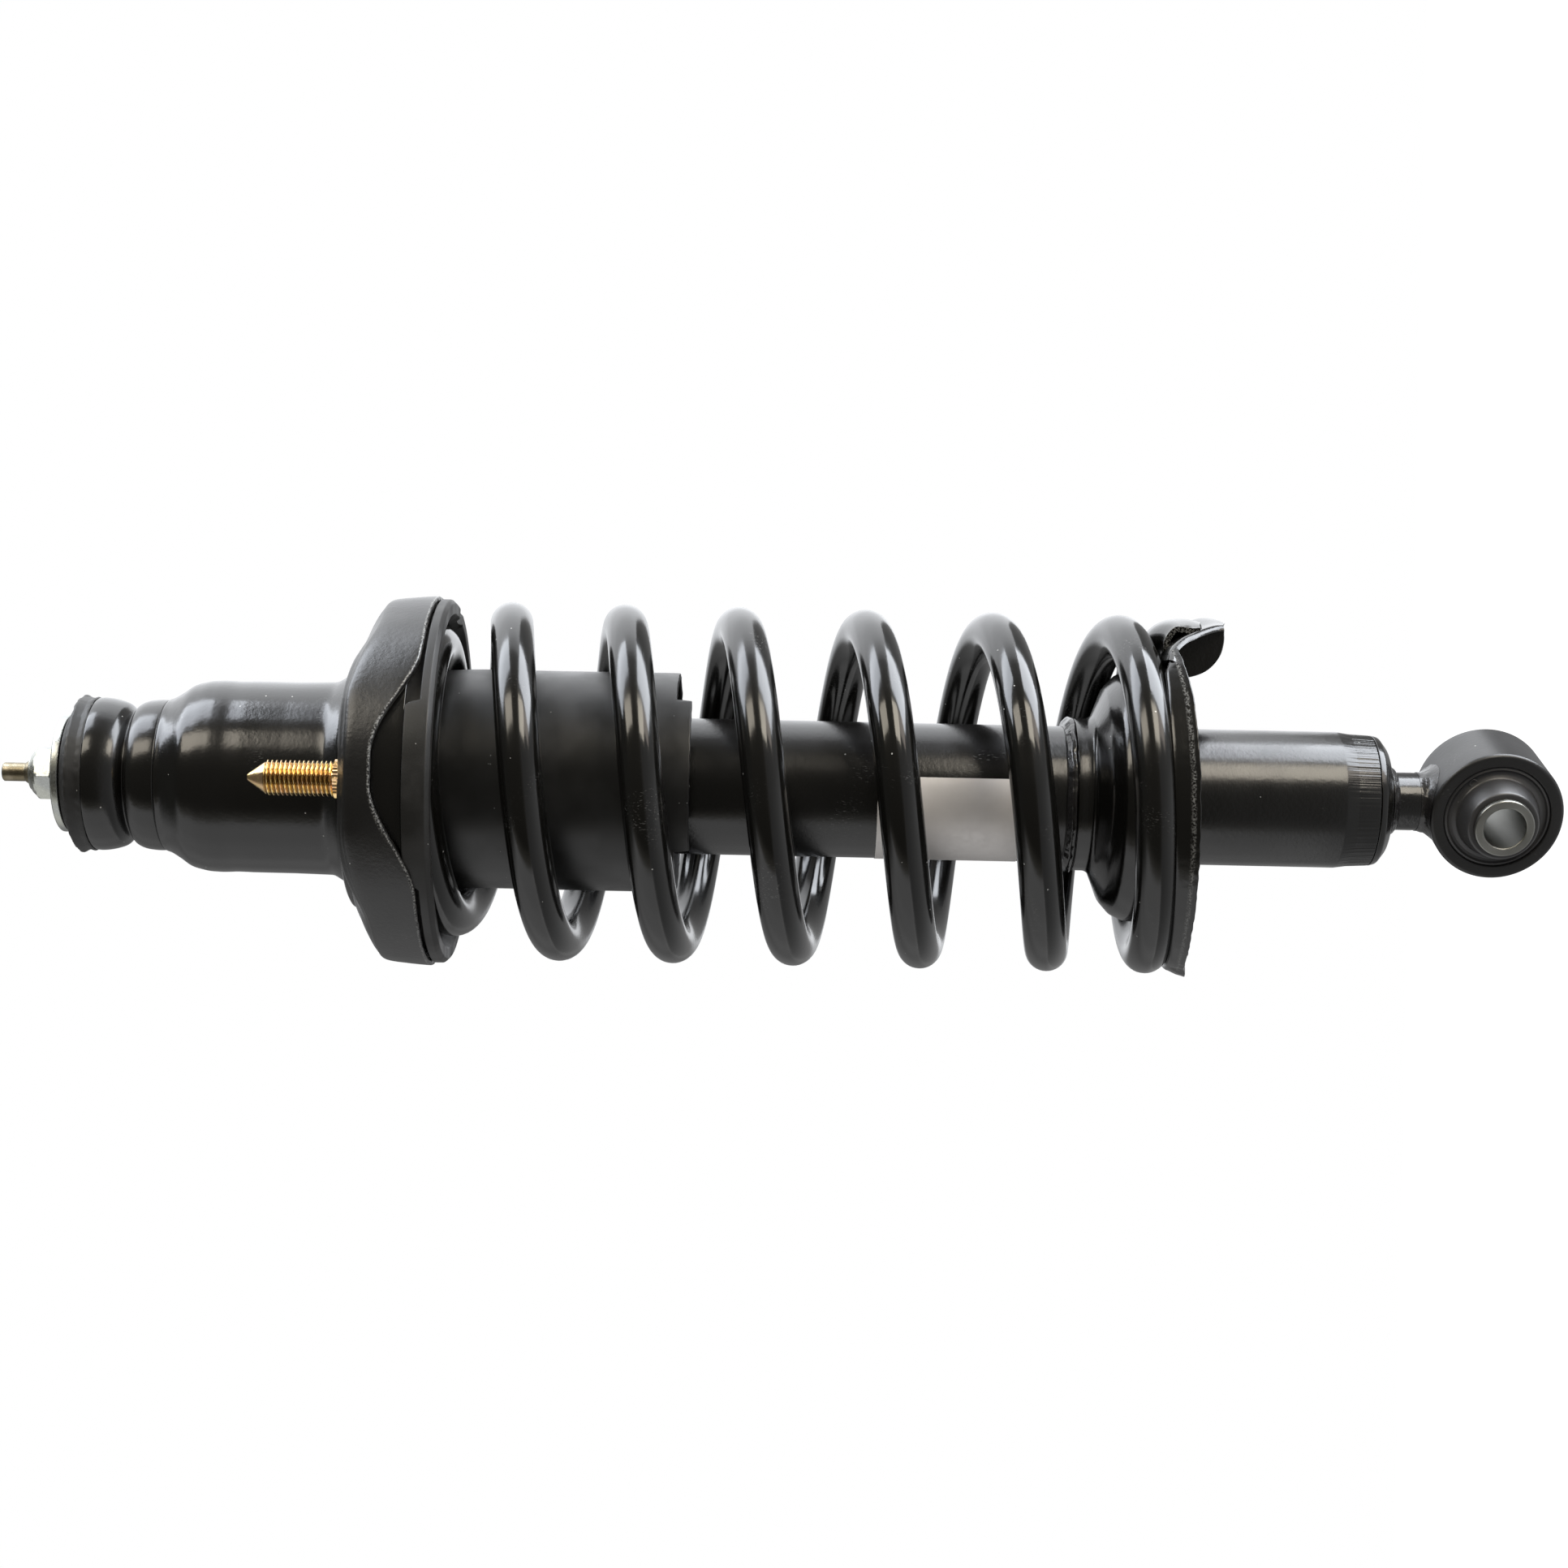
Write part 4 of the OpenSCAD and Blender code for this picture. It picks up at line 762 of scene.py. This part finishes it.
def makeDustCover(s):
    r, w = s.radius, s.wall
    line = spread(roundLine([
        (r - w, s.top), (r + 3.6, s.top, 0.3), (r + 3.6, s.top - 1.8, 0.3), (r, s.top - 1.8, 0.6),
        (r, s.low, 0.35), (r - w, s.low, 0.35)]), 2.0)

    def cutEnd(angle, r2, z):
        inTongue = s.tongueFrom < (angle + 180) % 360 - 180 < s.tongueTo
        if z < s.low + 4:
            share = ease((s.low + 4 - z) / 4)
            ragged = s.ragged * roughRound(angle, 32, 0, 3, 8.1)
            z += share * (ragged - (s.tongue if inTongue else 0))
        dent = s.dent * roughRound(angle, 32, z, 26, 6.6)
        return r2 + dent * ease((-z - 8) / 10), z
    points, faces = lathe(line, 360, True, cutEnd)
    points = [(x + s.lean * ease((-z - 16) / 20), y, z) for x, y, z in points]
    addPiece("dustCover", (points, faces), coverPlastic, "upper_mount", sharp=40)


# coil spring
coilSpring = Settings(
    wire=6.2, shift=0.4, radius=46.4, endRadius=39.8, flat=0.45, taper=0.75, widening=0.5,
    upperPitch=33.3, upperTurns=2.0, lowerPitch=37.2, lowerTurns=3.0, closing=0.5, closingDrop=10.0,
    dead=0.41, seatZ=-20.4, firstZ=-42.2, sides=40, ringsPerTurn=80, chamfer=0.5,
    anchor=-20.0, travel=80.0, smoothing=8)


def springPoint(t, s):
    first = s.flat + s.taper
    upper, lower = first + s.upperTurns, first + s.upperTurns + s.lowerTurns
    runZ = s.firstZ - s.upperPitch * s.upperTurns
    lastZ = runZ - s.lowerPitch * s.lowerTurns
    if t < s.flat:
        z = s.seatZ
    elif t < first:
        z = between(s.seatZ, s.firstZ, (t - s.flat) / s.taper)
    elif t < upper:
        z = s.firstZ - s.upperPitch * (t - first)
    elif t < lower:
        z = runZ - s.lowerPitch * (t - upper)
    else:
        u = min(1.0, (t - lower) / s.closing)
        z = lastZ - s.closingDrop * (0.45 * u + 0.55 * (2 * u - u * u))
    r = between(s.endRadius, s.radius, ease((t - first + s.widening) / s.widening))
    a = 2 * math.pi * (first - t)
    return Vector((r * math.cos(a), r * math.sin(a), z))


def makeSpring(s):
    turns = s.flat + s.taper + s.upperTurns + s.lowerTurns + s.closing + s.dead
    count = int(turns * s.ringsPerTurn)
    path = [springPoint(turns * i / count, s) for i in range(count + 1)]
    heights = [p.z for p in path]
    for again in range(s.smoothing):
        heights = [between(h, (heights[max(i - 1, 0)] + heights[min(i + 1, count)]) / 2, 0.5)
                   for i, h in enumerate(heights)]
    path = [Vector((p.x + s.shift, p.y, h)) for p, h in zip(path, heights)]
    points = []
    for i, p in enumerate(path):
        along = (path[min(i + 1, count)] - path[max(i - 1, 0)]).normalized()
        side = along.cross(Vector((0, 0, 1))).normalized()
        up = side.cross(along)
        r = s.wire - (s.chamfer if i in (0, count) else 0)
        for k in range(s.sides):
            a = 2 * math.pi * k / s.sides
            points.append(tuple(p + r * (math.cos(a) * side + math.sin(a) * up)))
    faces = gridFaces(count + 1, s.sides, False, True)
    last = count * s.sides
    faces += [tuple(range(s.sides)), tuple(last + k for k in range(s.sides - 1, -1, -1))]
    spring = addPiece("coilSpring", (points, faces), springPaint, "upper_mount")
    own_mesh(spring)


# damper tube and its end
strutTube = Settings(radius=20.0, wall=2.0, top=-52.0, bottom=-295.5, swage=8.5, swageIn=0.7, lip=1.4,
                     marks=0.12)


def makeTube(s):
    r, w, b = s.radius, s.wall, s.bottom
    line = spread(roundLine([
        (r - w - 2.4, s.top, 0.2), (r, s.top, 1.0), (r, b + s.swage + 1.5, 4),
        (r - s.swageIn * 0.8, b + s.swage - 2, 4), (r - s.swageIn - 0.2, b, 0.5),
        (r - s.swageIn - w, b, 0.3), (r - s.swageIn - w, b + s.swage - 0.6), (r - w, b + s.swage + 0.6),
        (r - w, s.top - s.lip), (r - w - 2.4, s.top - s.lip, 0.2)]), 6.0)

    def drawn(angle, r2, z):
        if z < b + s.swage and r2 > r - 1.6:  # the rolled end has fine marks along the tube
            share = ease((b + s.swage - z) / 2)
            return r2 + s.marks * share * roughRound(angle, 200, z / 6, 4, 9.3), z
        return r2, z
    addPiece("strutTube", lathe(line, 640, True, drawn), tubePaint, "damper", sharp=40)


tubeEnd = Settings(plug=17.25, rim=19.2, top=-292.6, rimZ=-295.55, low=-300.9, foot=9.5)


def makeTubeEnd(s):
    line = spread(roundLine([
        (0, s.top), (s.plug, s.top), (s.plug, s.rimZ), (s.rim, s.rimZ, 0.2),
        (s.rim - 0.5, s.rimZ - 1.8, 1.2), (s.foot + 6.4, s.low + 1.4, 3), (s.foot + 2, s.low + 0.2, 3),
        (s.foot, s.low), (0, s.low)], closed=False), 1.0, False)
    addPiece("tubeEnd", lathe(line, 200, False), glossPaint, "damper", sharp=45)


stemPiece = Settings(radius=8.5, top=-300.95, low=-331.0, eyeRadius=19.45, eyeTurn=21.0)


def makeStem(s):
    rows = 14

    def column(angle):  # its foot follows the eye
        across = s.radius * math.cos(math.radians(angle + s.eyeTurn))
        foot = s.low + math.sqrt(s.eyeRadius ** 2 - across ** 2)
        side = [(s.radius, between(s.top, foot, i / (rows - 1))) for i in range(rows)]
        inner = s.low + math.sqrt(s.eyeRadius ** 2 - (across / 2) ** 2)
        return [(0, s.top)] + side + [(s.radius / 2, inner), (0, s.low + s.eyeRadius)]
    addPiece("stem", sweep(column, 120, False), glossPaint, "damper")


stemWeld = Settings(inner=8.55, outer=10.7, top=-301.0, low=-303.3, lumps=0.3)


def makeStemWeld(s):
    line = spread(roundLine([(s.inner, s.top), (s.outer, s.top - 0.1, 0.6), (s.outer - 0.7, s.top - 0.9, 1.0),
                             (s.inner + 1.0, s.low + 0.7, 1.5), (s.inner, s.low)]), 0.5)

    def lumps(angle, r, z):
        return r + ease(r - s.inner) * s.lumps * roughRound(angle, 11, z, 2.6, 2.9), z
    addPiece("stemWeld", lathe(line, 200, True, lumps), weldPaint, "damper", sharp=60)


seatWeld = Settings(inner=20.05, outer=22.8, low=-207.75, top=-204.8, lumps=0.55, fineLumps=0.22, rise=0.6)


def makeSeatWeld(s):
    line = spread(roundLine([(s.inner, s.low), (s.outer, s.low, 0.5), (s.outer - 0.1, s.low + 1.4, 1.0),
                             (s.inner + 1.2, s.top - 0.2, 1.2), (s.inner, s.top)]), 0.4)

    def lumps(angle, r, z):
        share = ease((r - s.inner) / 1.2)
        coarse = roughRound(angle, 21, z, 5.5, 3.7)
        fine = roughRound(angle, 21, z, 1.9, 8.8)
        rise = s.rise * roughRound(angle, 21, 0, 7, 5.5)
        return r + share * (s.lumps * coarse + s.fineLumps * fine), z + share * rise
    addPiece("seatWeld", lathe(line, 320, True, lumps), weldPaint, "damper", sharp=70)


# lower spring seat
# its floor and its skirt follow the last coil, as (angle, rise of the floor, rise of the edge)
lowerSeat = Settings(
    bore=20.05, neck=22.4, neckTop=-207.8, pilotTop=-216.3, pilot=37.2, floor=-236.9,
    radius=52.3, rim=5.6, edge=2.0, wall=2.4, grooveIn=39.6, corner=50.9,
    open=(-35.5, 42.0), openRadius=44.0, tear=0.22, wideTear=0.2, wave=0.1, flare=0.9, flareDrop=0.8,
    bare=0.5,
    rises=[(-180, 0.9, 0.6), (-170, 1.4, 1.8), (-158, 2.2, 2.6), (-146, 2.9, 3.0), (-130, 3.9, 3.3),
           (-118, 4.6, 3.5), (-106, 5.3, 3.7), (-88, 6.2, 4.1), (-70, 6.9, 4.8), (-58, 7.3, 5.5),
           (-46, 7.2, 6.9), (-41, 5.6, 7.6), (-35, 3.9, 8.7), (-22, 3.0, 7.0), (8, 1.5, 4.0),
           (30, 0.0, 0.0), (150, 0.0, 0.0), (180, 0.9, 0.6)])


def seatRise(angle, s):
    angle = (angle + 180) % 360 - 180
    for (a, floorA, rimA), (b, floorB, rimB) in zip(s.rises, s.rises[1:]):
        if a <= angle <= b:
            t = (angle - a) / (b - a)
            return between(floorA, floorB, t), between(rimA, rimB, t)
    return 0.0, 0.0


def makeLowerSeat(s):
    w, n, p, f, g = s.wall, s.neck, s.pilotTop, s.floor, s.grooveIn
    r0, c = s.radius, s.corner
    line = spread(roundLine([
        (s.bore, s.neckTop), (n, s.neckTop, 0.5), (n, p + 3.2, 2.5), (between(n, s.pilot, 0.32), p + 1.3, 3),
        (between(n, s.pilot, 0.62), p - 0.4, 4), (s.pilot - 2.0, p - 3.6, 4), (s.pilot - 0.3, p - 7.4, 4),
        (s.pilot, p - 11, 3), (g - 1.4, f + 5, 3), (g + 0.6, f + 1.0, 1.8), (g + 2.6, f, 1.5), (c, f, 1.6),
        (r0 - 0.5, f - s.rim + s.edge, 0.3), (r0, f - s.rim + 0.2, 0.3), (r0 - w, f - s.rim + 0.1, 0.3),
        (c - 1.6, f - w, 1.0), (g + 1.4, f - w, 1.5), (g - 2, f - 0.6, 2), (s.pilot - w - 0.4, f + 5, 2),
        (s.pilot - w, p - 11, 2), (s.pilot - w - 0.6, p - 8.6, 3), (s.pilot - w - 2.4, p - 5.6, 3),
        (between(n, s.pilot, 0.5), p - w - 0.8, 2), (s.bore, p - w)]), 1.1)

    def shaped(angle, r, z):
        turn = (angle + 180) % 360 - 180
        floorRise, rimRise = seatRise(angle, s)
        low = ease((f - z) / (s.rim - s.edge))
        under = between(0.55, 1, ease((r - 45) / 4))  # the trough under the wire stays lower than its edge
        z += ease((r - s.pilot + 1.5) / 4) * under * between(floorRise, rimRise, low) * ease((f + 8 - z) / 6)
        inOpen = ease((turn - s.open[0]) / 2 + 0.5) * ease((s.open[1] - turn) / 6 + 0.5)
        if r > s.openRadius:
            r = between(r, s.openRadius + 0.12 * (r - s.openRadius), inOpen)
            z = between(z, max(z, f + floorRise - 2.6), inOpen)
        share = low * ease((r - g - 8) / 3)
        tear = s.tear * roughRound(angle, 52, 0, 2.4, 6.1) + s.wideTear * roughRound(angle, 52, 0, 9, 2.0)
        flare = ease((turn + 176) / 4) * ease((-164 - turn) / 4)
        wave = s.wave * roughRound(angle, 52, z, 1.6, 1.1)
        return r + share * (wave + s.flare * flare), z + share * (tear - s.flareDrop * flare)

    def bareEdge(x, y, z):
        rimRise = seatRise(math.degrees(math.atan2(y, x)), s)[1]
        line = f + rimRise - s.rim + s.edge
        return ease(1.4 - abs(z - line) / 0.35) * s.bare if math.hypot(x, y) > r0 - 1.4 else 0.0
    addPiece("lowerSeat", lathe(line, 480, True, shaped), glossPaint, "damper",
             sharp=45, marks={"worn": bareEdge})


# a hood over the wire's end: its front edge and its crown as (radius, height), and where they lie
springStop = Settings(
    front=[(41.5, -232.4), (46.4, -232.0), (49.4, -232.6), (51.8, -234.3), (52.4, -235.8), (52.3, -237.4),
           (52.0, -240.2), (52.2, -242.2)],
    crown=[(41.6, -227.2), (44.6, -227.6), (47.4, -228.9), (49.8, -230.8), (51.5, -233.6), (52.2, -237.1),
           (52.2, -240.7), (51.4, -244.4)],
    start=-21.0, end=34.0, blend=17.0, wall=1.7, bare=0.6)


def makeStop(s):
    def column(angle):
        t = ease((angle - s.start) / s.blend)
        outer = smoothCurve([(between(p[0], q[0], t), between(p[1], q[1], t))
                             for p, q in zip(s.front, s.crown)], 5)
        return outer + otherSide(outer, s.wall)[::-1]

    def bareEdge(x, y, z):
        return ease(1.5 - abs(math.degrees(math.atan2(y, x)) - s.start) / 0.5) * s.bare
    shape = sweep(column, 56, span=(s.start, s.end))
    addPiece("springStop", shape, glossPaint, "damper", sharp=50, marks={"worn": bareEdge})


# a saddle whose web runs out from the seat's edge, with an ear on each side; the web rises towards its back
hoseBracket = Settings(
    near=[(38.6, -231.0), (41.4, -232.0), (43.2, -233.4), (45.4, -236.2), (46.8, -239.2), (48.0, -241.8),
          (49.1, -244.8), (49.8, -247.4), (50.0, -249.6)],
    far=[(40.0, -231.0), (43.4, -232.6), (46.8, -235.0), (49.6, -238.2), (51.6, -241.4), (52.8, -244.4),
         (53.3, -247.0), (53.0, -250.4), (51.8, -253.4)],
    radius=52.2, back=12.6, wall=2.0, frontEar=-13.6, backEar=10.6, level=9.0,
    front=[(43.4, -236.4), (45.4, -240.4), (47.3, -244.0), (49.0, -249.3), (47.0, -250.0), (44.4, -249.9),
           (41.4, -249.1), (38.6, -247.3), (36.4, -244.8), (35.0, -241.6), (34.4, -238.4), (34.4, -236.0)],
    behind=[(43.6, -236.6), (48.4, -239.8), (50.6, -242.2), (51.6, -245.0), (51.7, -248.0), (51.0, -251.0),
            (49.4, -252.0), (44.4, -250.6), (39.6, -248.6), (36.4, -245.0), (34.6, -240.6), (34.4, -236.2)])


def plate(outline, y0, y1, bevel):
    middle = Vector((sum(p[0] for p in outline), sum(p[1] for p in outline))) / len(outline)
    rings = []
    for y, inset in ((y0, bevel), (y0 + bevel, 0), (y1 - bevel, 0), (y1, bevel)):
        ring = []
        for x, z in outline:
            pull = (middle - Vector((x, z))).normalized() * inset
            ring.append((x + pull.x, y, z + pull.y))
        rings.append(ring)
    n = len(outline)
    points = [p for ring in rings for p in ring]
    faces = [(a * n + i, a * n + (i + 1) % n, (a + 1) * n + (i + 1) % n, (a + 1) * n + i)
             for a in range(3) for i in range(n)]
    return points, faces + [tuple(range(n)), tuple(3 * n + i for i in range(n - 1, -1, -1))]


def makeBracket(s):
    near, far = smoothCurve(s.near, 5), smoothCurve(s.far, 5)
    bend, flat, w = 6, 15, s.wall
    outer, inner = [], []
    for i, (x, z) in enumerate(near):
        front = -math.sqrt(max(0, s.radius ** 2 - x * x))
        steps = [(front + w * (1 - math.cos(t)), w * (1 - math.sin(t)))
                 for t in (math.pi / 2 * k / bend for k in range(bend + 1))]
        steps += [(between(front + w, s.back, k / flat), 0.0) for k in range(1, flat + 1)]
        for y, depth in steps:
            t = ease((y - front) / (s.level - front))
            a, b = max(i - 1, 0), min(i + 1, len(near) - 1)
            here, before, after = ([between(near[n][q], far[n][q], t) for q in (0, 1)] for n in (i, a, b))
            q = (Vector(after) - Vector(before)).normalized()
            outer.append((here[0] + q.y * depth, y, here[1] - q.x * depth))
            inner.append((here[0] + q.y * w, y, here[1] - q.x * w))
    rows, across, count = len(near), len(outer) // len(near), len(outer)
    faces = gridFaces(rows, across, False, False)
    faces += [tuple(count + i for i in face[::-1]) for face in faces]
    edge = list(range(across)) + [j * across + across - 1 for j in range(1, rows)]
    edge += [(rows - 1) * across + k for k in range(across - 2, -1, -1)]
    edge += [j * across for j in range(rows - 2, 0, -1)]
    faces += [(a, b, count + b, count + a) for a, b in zip(edge, edge[1:] + edge[:1])]
    smooth = [smoothCurve(s[key] + s[key][:1], 4)[:-1] for key in ("front", "behind")]
    shape = joined((outer + inner, faces), plate(smooth[0], s.frontEar, s.frontEar + w, 0.35),
                   plate(smooth[1], s.backEar, s.backEar + w, 0.35))

    def bareEdge(x, y, z):
        front = -math.sqrt(max(0, s.radius ** 2 - min(x, 51) ** 2))
        return ease(1.5 - abs(y - front) / 0.5) * ease((z + 236.5) / 2)
    addPiece("hoseBracket", shape, glossPaint, "damper",
             sharp=40, marks={"worn": bareEdge})


blankLabel = Settings(radius=20.06, thick=0.13, top=-150.4, height=41.5, start=-204.5,
                      span=126.0, crease=0.05)


def makeLabel(s):
    heights = [s.top - s.height * j / 29 for j in range(30)]

    def column(angle):
        outside = [(s.radius + s.thick + s.crease * max(0.0, roughRound(angle, 20, z, 11, 3.3)), z)
                   for z in heights[::-1]]
        return [(s.radius, z) for z in heights] + outside
    shape = sweep(column, 80, span=(s.start, s.start + s.span))
    addPiece("blankLabel", shape, foil, "damper", sharp=30)


# lower eye
lowerEye = Settings(z=-331.0, turn=21.0, radius=19.4, inside=15.4, width=23.0, rubberHalf=10.75,
                    sleeve=8.6, bore=6.1, length=41.0, collar=12.0, collarHalf=18.7,
                    pip=(10.3, 8.0), pipRadius=1.0, pipRing=0.28)


def eyePlace(s):
    return (Matrix.Translation((0, 0, s.z)) @ Matrix.Rotation(math.radians(-s.turn), 4, "Z")
            @ Matrix.Rotation(math.radians(90), 4, "X"))


def makeEye(s):
    h, r, i = s.width / 2, s.radius, s.inside
    ring = spread(roundLine([(i, -h, 0.5), (r, -h, 1.2), (r, h, 1.2), (i, h, 0.5)]), 2.0)
    addPiece("eyeRing", moved(lathe(ring, 240), eyePlace(s)), satinPaint, "damper")
    b, hole = s.rubberHalf, s.sleeve + 0.05
    c = s.collar
    half = [(hole, -s.collarHalf), (c - 1.8, -s.collarHalf, 0.8), (c - 0.7, -b - 3.4, 1.5),
            (c - 0.1, -b - 0.6, 1.2), (c + 1.2, -b + 0.2, 1.0), (i - 1.3, -b + 0.1, 0.5),
            (i - 0.8, -b - 0.6, 0.25), (i - 0.05, -b - 0.2, 0.2)]
    line = spread(roundLine(half + [(q, -z, *f) for q, z, *f in half[::-1]]), 0.9)
    wire = [(s.pipRadius + s.pipRing * math.cos(k), s.pipRing * math.sin(k))
            for k in (math.pi * j / 5 for j in range(10))]
    pip = moved(lathe(wire, 24), Matrix.Translation((*s.pip, b)))
    addPiece("eyeRubber", moved(joined(lathe(line, 200), pip), eyePlace(s)), eyeRubber, "damper",
             sharp=45)
    e, o, q = s.length / 2, s.sleeve, s.bore
    line = spread(roundLine([(q, -e, 0.5), (o, -e, 0.5), (o, e, 0.5), (q, e, 0.5)]), 1.0)
    place = eyePlace(s)
    back = place.inverted()

    def turned(x, y, z):
        p = back @ Vector((x, y, z))
        return math.hypot(p.x, p.y) + p.z
    addPiece("eyeSleeve", moved(lathe(line, 200), place), sleeveSteel, "sleeve",
             marks={"turned": turned})


eyeWeld = Settings(inner=8.55, flare=2.4, eye=19.45, z=-331.0, turn=21.0, top=-309.4, lift=0.15, lumps=0.3)


def makeEyeWeld(s):
    rows = 10

    def column(angle):
        across = math.cos(math.radians(angle + s.turn))
        line = [(s.inner, s.top)]
        for j in range(rows):
            t = j / (rows - 1)
            lump = s.lumps * roughRound(angle, 11, 8 * t, 2.6, 6.9) * ease(3 * t)
            r = s.inner + s.lift + s.flare * t ** 2.4 + lump
            line.append((r, between(s.top, s.z + math.sqrt(s.eye ** 2 - (r * across) ** 2), t ** 0.8)))
        return line + [(s.inner, s.z + math.sqrt(s.eye ** 2 - (s.inner * across) ** 2))]
    addPiece("eyeWeld", sweep(column, 160), weldPaint, "damper", sharp=60)


# inner pieces keep their solids
innerFinish = {
    "distance_sleeve": innerSteel, "lower_bush": rubber, "lower_washer": innerSteel, "bump_stop": foam,
    "rebound_stop": innerSteel, "upper_shims": innerSteel, "piston": sinteredIron, "piston_band": slidingBand,
    "lower_shims": innerSteel, "piston_nut": innerSteel, "tube_cap": innerSteel, "rod_seal": rubber,
    "rod_guide": sinteredIron, "pressure_tube": innerSteel, "base_valve": sinteredIron}


def finishInner(finish):
    for node, material in finish.items():
        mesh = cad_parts[node].data
        mesh.materials.clear()
        mesh.materials.append(material)


# floor and surroundings
floorSetup = Settings(z=-1.5, half=5.0, glow=0.82)


def makeFloor(s):
    mesh = bpy.data.meshes.new("floor")
    h = s.half
    mesh.from_pydata([(-h, -h, s.z), (h, -h, s.z), (h, h, s.z), (-h, h, s.z)], [], [(0, 1, 2, 3)])
    floor = bpy.data.objects.new("floor", mesh)
    bpy.context.scene.collection.objects.link(floor)
    material = bpy.data.materials.new("paleFloor")
    material.use_nodes = True
    tree = material.node_tree
    tree.nodes.clear()
    seen = addNode(tree, "ShaderNodeLightPath").outputs
    shows = math1(tree, "MAXIMUM", seen["Is Camera Ray"], seen["Is Transmission Ray"])
    pale = addNode(tree, "ShaderNodeBsdfDiffuse", {"Color": (0.85, 0.85, 0.85, 1)})
    lit = addNode(tree, "ShaderNodeEmission", {"Color": (1, 1, 1, 1),
                  "Strength": math1(tree, "MULTIPLY", shows, s.glow)})
    both = addNode(tree, "ShaderNodeAddShader", {0: pale.outputs[0], 1: lit.outputs[0]})
    out = tree.nodes.new("ShaderNodeOutputMaterial")
    tree.links.new(both.outputs[0], out.inputs[0])
    mesh.materials.append(material)


# brightness of the room by angle round the strut, from the camera towards +X, each with its tint,
# and how far along the strut's direction, in degrees, its wall and its table reach
neutral, brown, blue = (1, 1, 1), (1.0, 0.95, 0.82), (0.95, 0.97, 1.0)
roomSetup = Settings(
    fill=0.42, dark=0.10, reach=(46, 68), endReach=(64, 86), endGlow=0.15, endFrom=(-0.1, -0.24),
    endTo=(-0.4, -0.6), brightest=4.0,
    steps=[(-180, 1.2, blue), (-168, 0.25, neutral), (-142, 0.35, neutral), (-118, 0.7, neutral),
           (-90, 1.0, neutral), (-60, 1.15, neutral), (-52, 0.35, brown), (-40, 0.10, brown),
           (0, 0.11, brown), (60, 0.28, brown), (88, 0.6, neutral), (97, 2.2, blue), (112, 3.0, blue),
           (135, 2.5, blue), (160, 1.8, blue), (180, 1.2, blue)])


def makeRoom(s):
    world = bpy.data.worlds.new("room")
    bpy.context.scene.world = world
    world.use_nodes = True
    tree = world.node_tree
    tree.nodes.clear()
    place = addNode(tree, "ShaderNodeTexCoord").outputs["Generated"]
    way = addNode(tree, "ShaderNodeSeparateXYZ", {0: place})
    angle = math1(tree, "ARCTAN2", way.outputs[0], math1(tree, "MULTIPLY", way.outputs[1], -1.0))
    share = math1(tree, "ADD", math1(tree, "DIVIDE", angle, 2 * math.pi), 0.5)
    steps = tree.nodes.new("ShaderNodeValToRGB")
    tree.links.new(share, steps.inputs[0])
    bar = steps.color_ramp
    bar.interpolation = "EASE"
    while len(bar.elements) > 1:
        bar.elements.remove(bar.elements[0])
    for i, (degrees, level, tint) in enumerate(s.steps):
        spot = bar.elements[0] if i == 0 else bar.elements.new(degrees / 360 + 0.5)
        spot.position = degrees / 360 + 0.5
        spot.color = tuple(level / s.brightest * t for t in tint) + (1,)
    around = addNode(tree, "ShaderNodeVectorMath", {0: steps.outputs[0], "Scale": s.brightest},
                     operation="SCALE").outputs[0]
    lean = math1(tree, "ARCSINE", math1(tree, "ABSOLUTE", way.outputs[2]))
    fades = [ramp(tree, lean, *(math.radians(v) for v in s[key])) for key in ("reach", "endReach")]
    fade = addNode(tree, "ShaderNodeMix", {0: math1(tree, "LESS_THAN", way.outputs[2], 0.0), 2: fades[0],
                   3: fades[1]}, data_type="FLOAT").outputs[0]
    d = s.dark
    room = blendColour(tree, fade, around, (d, d, d * 0.9, 1))
    glow = math1(tree, "MULTIPLY", ramp(tree, way.outputs[2], *s.endFrom, 0, s.endGlow),
                 ramp(tree, way.outputs[2], *s.endTo, 1, 0))
    room = addNode(tree, "ShaderNodeVectorMath", {0: room, 1: glow}, operation="ADD").outputs[0]
    seen = addNode(tree, "ShaderNodeLightPath").outputs
    plain = blendColour(tree, seen["Is Camera Ray"], room, (1, 1, 1, 1))
    shows = math1(tree, "MAXIMUM", math1(tree, "MAXIMUM", seen["Is Camera Ray"], seen["Is Glossy Ray"]),
                  seen["Is Transmission Ray"])
    f = s.fill
    colour = blendColour(tree, shows, (f, f, f, 1), plain)
    back = addNode(tree, "ShaderNodeBackground", {"Color": colour, "Strength": 1.0})
    out = tree.nodes.new("ShaderNodeOutputWorld")
    tree.links.new(back.outputs[0], out.inputs[0])


makeCamera(cameraSetup)
makeLamps(lampSetup)
makeFloor(floorSetup)
makeRoom(roomSetup)
print("studio made")
makeNut(rodNut)
makeWasher(topWasher)
makeRod(pistonRod)
makeUpperBush(upperBush)
makeTower(mountTower)
makeFlange(mountFlange)
makeStuds(mountStud)
makeSeatCup(seatCup)
makeIsolator(isolator)
makeDustCover(dustCover)
print("upper mount made")
makeSpring(coilSpring)
print("spring made")
makeTube(strutTube)
makeTubeEnd(tubeEnd)
makeStem(stemPiece)
makeStemWeld(stemWeld)
makeSeatWeld(seatWeld)
makeLowerSeat(lowerSeat)
makeStop(springStop)
makeBracket(hoseBracket)
makeLabel(blankLabel)
makeEye(lowerEye)
makeEyeWeld(eyeWeld)
finishInner(innerFinish)
print("damper made")

bpy.context.scene.view_settings.view_transform = "Standard"
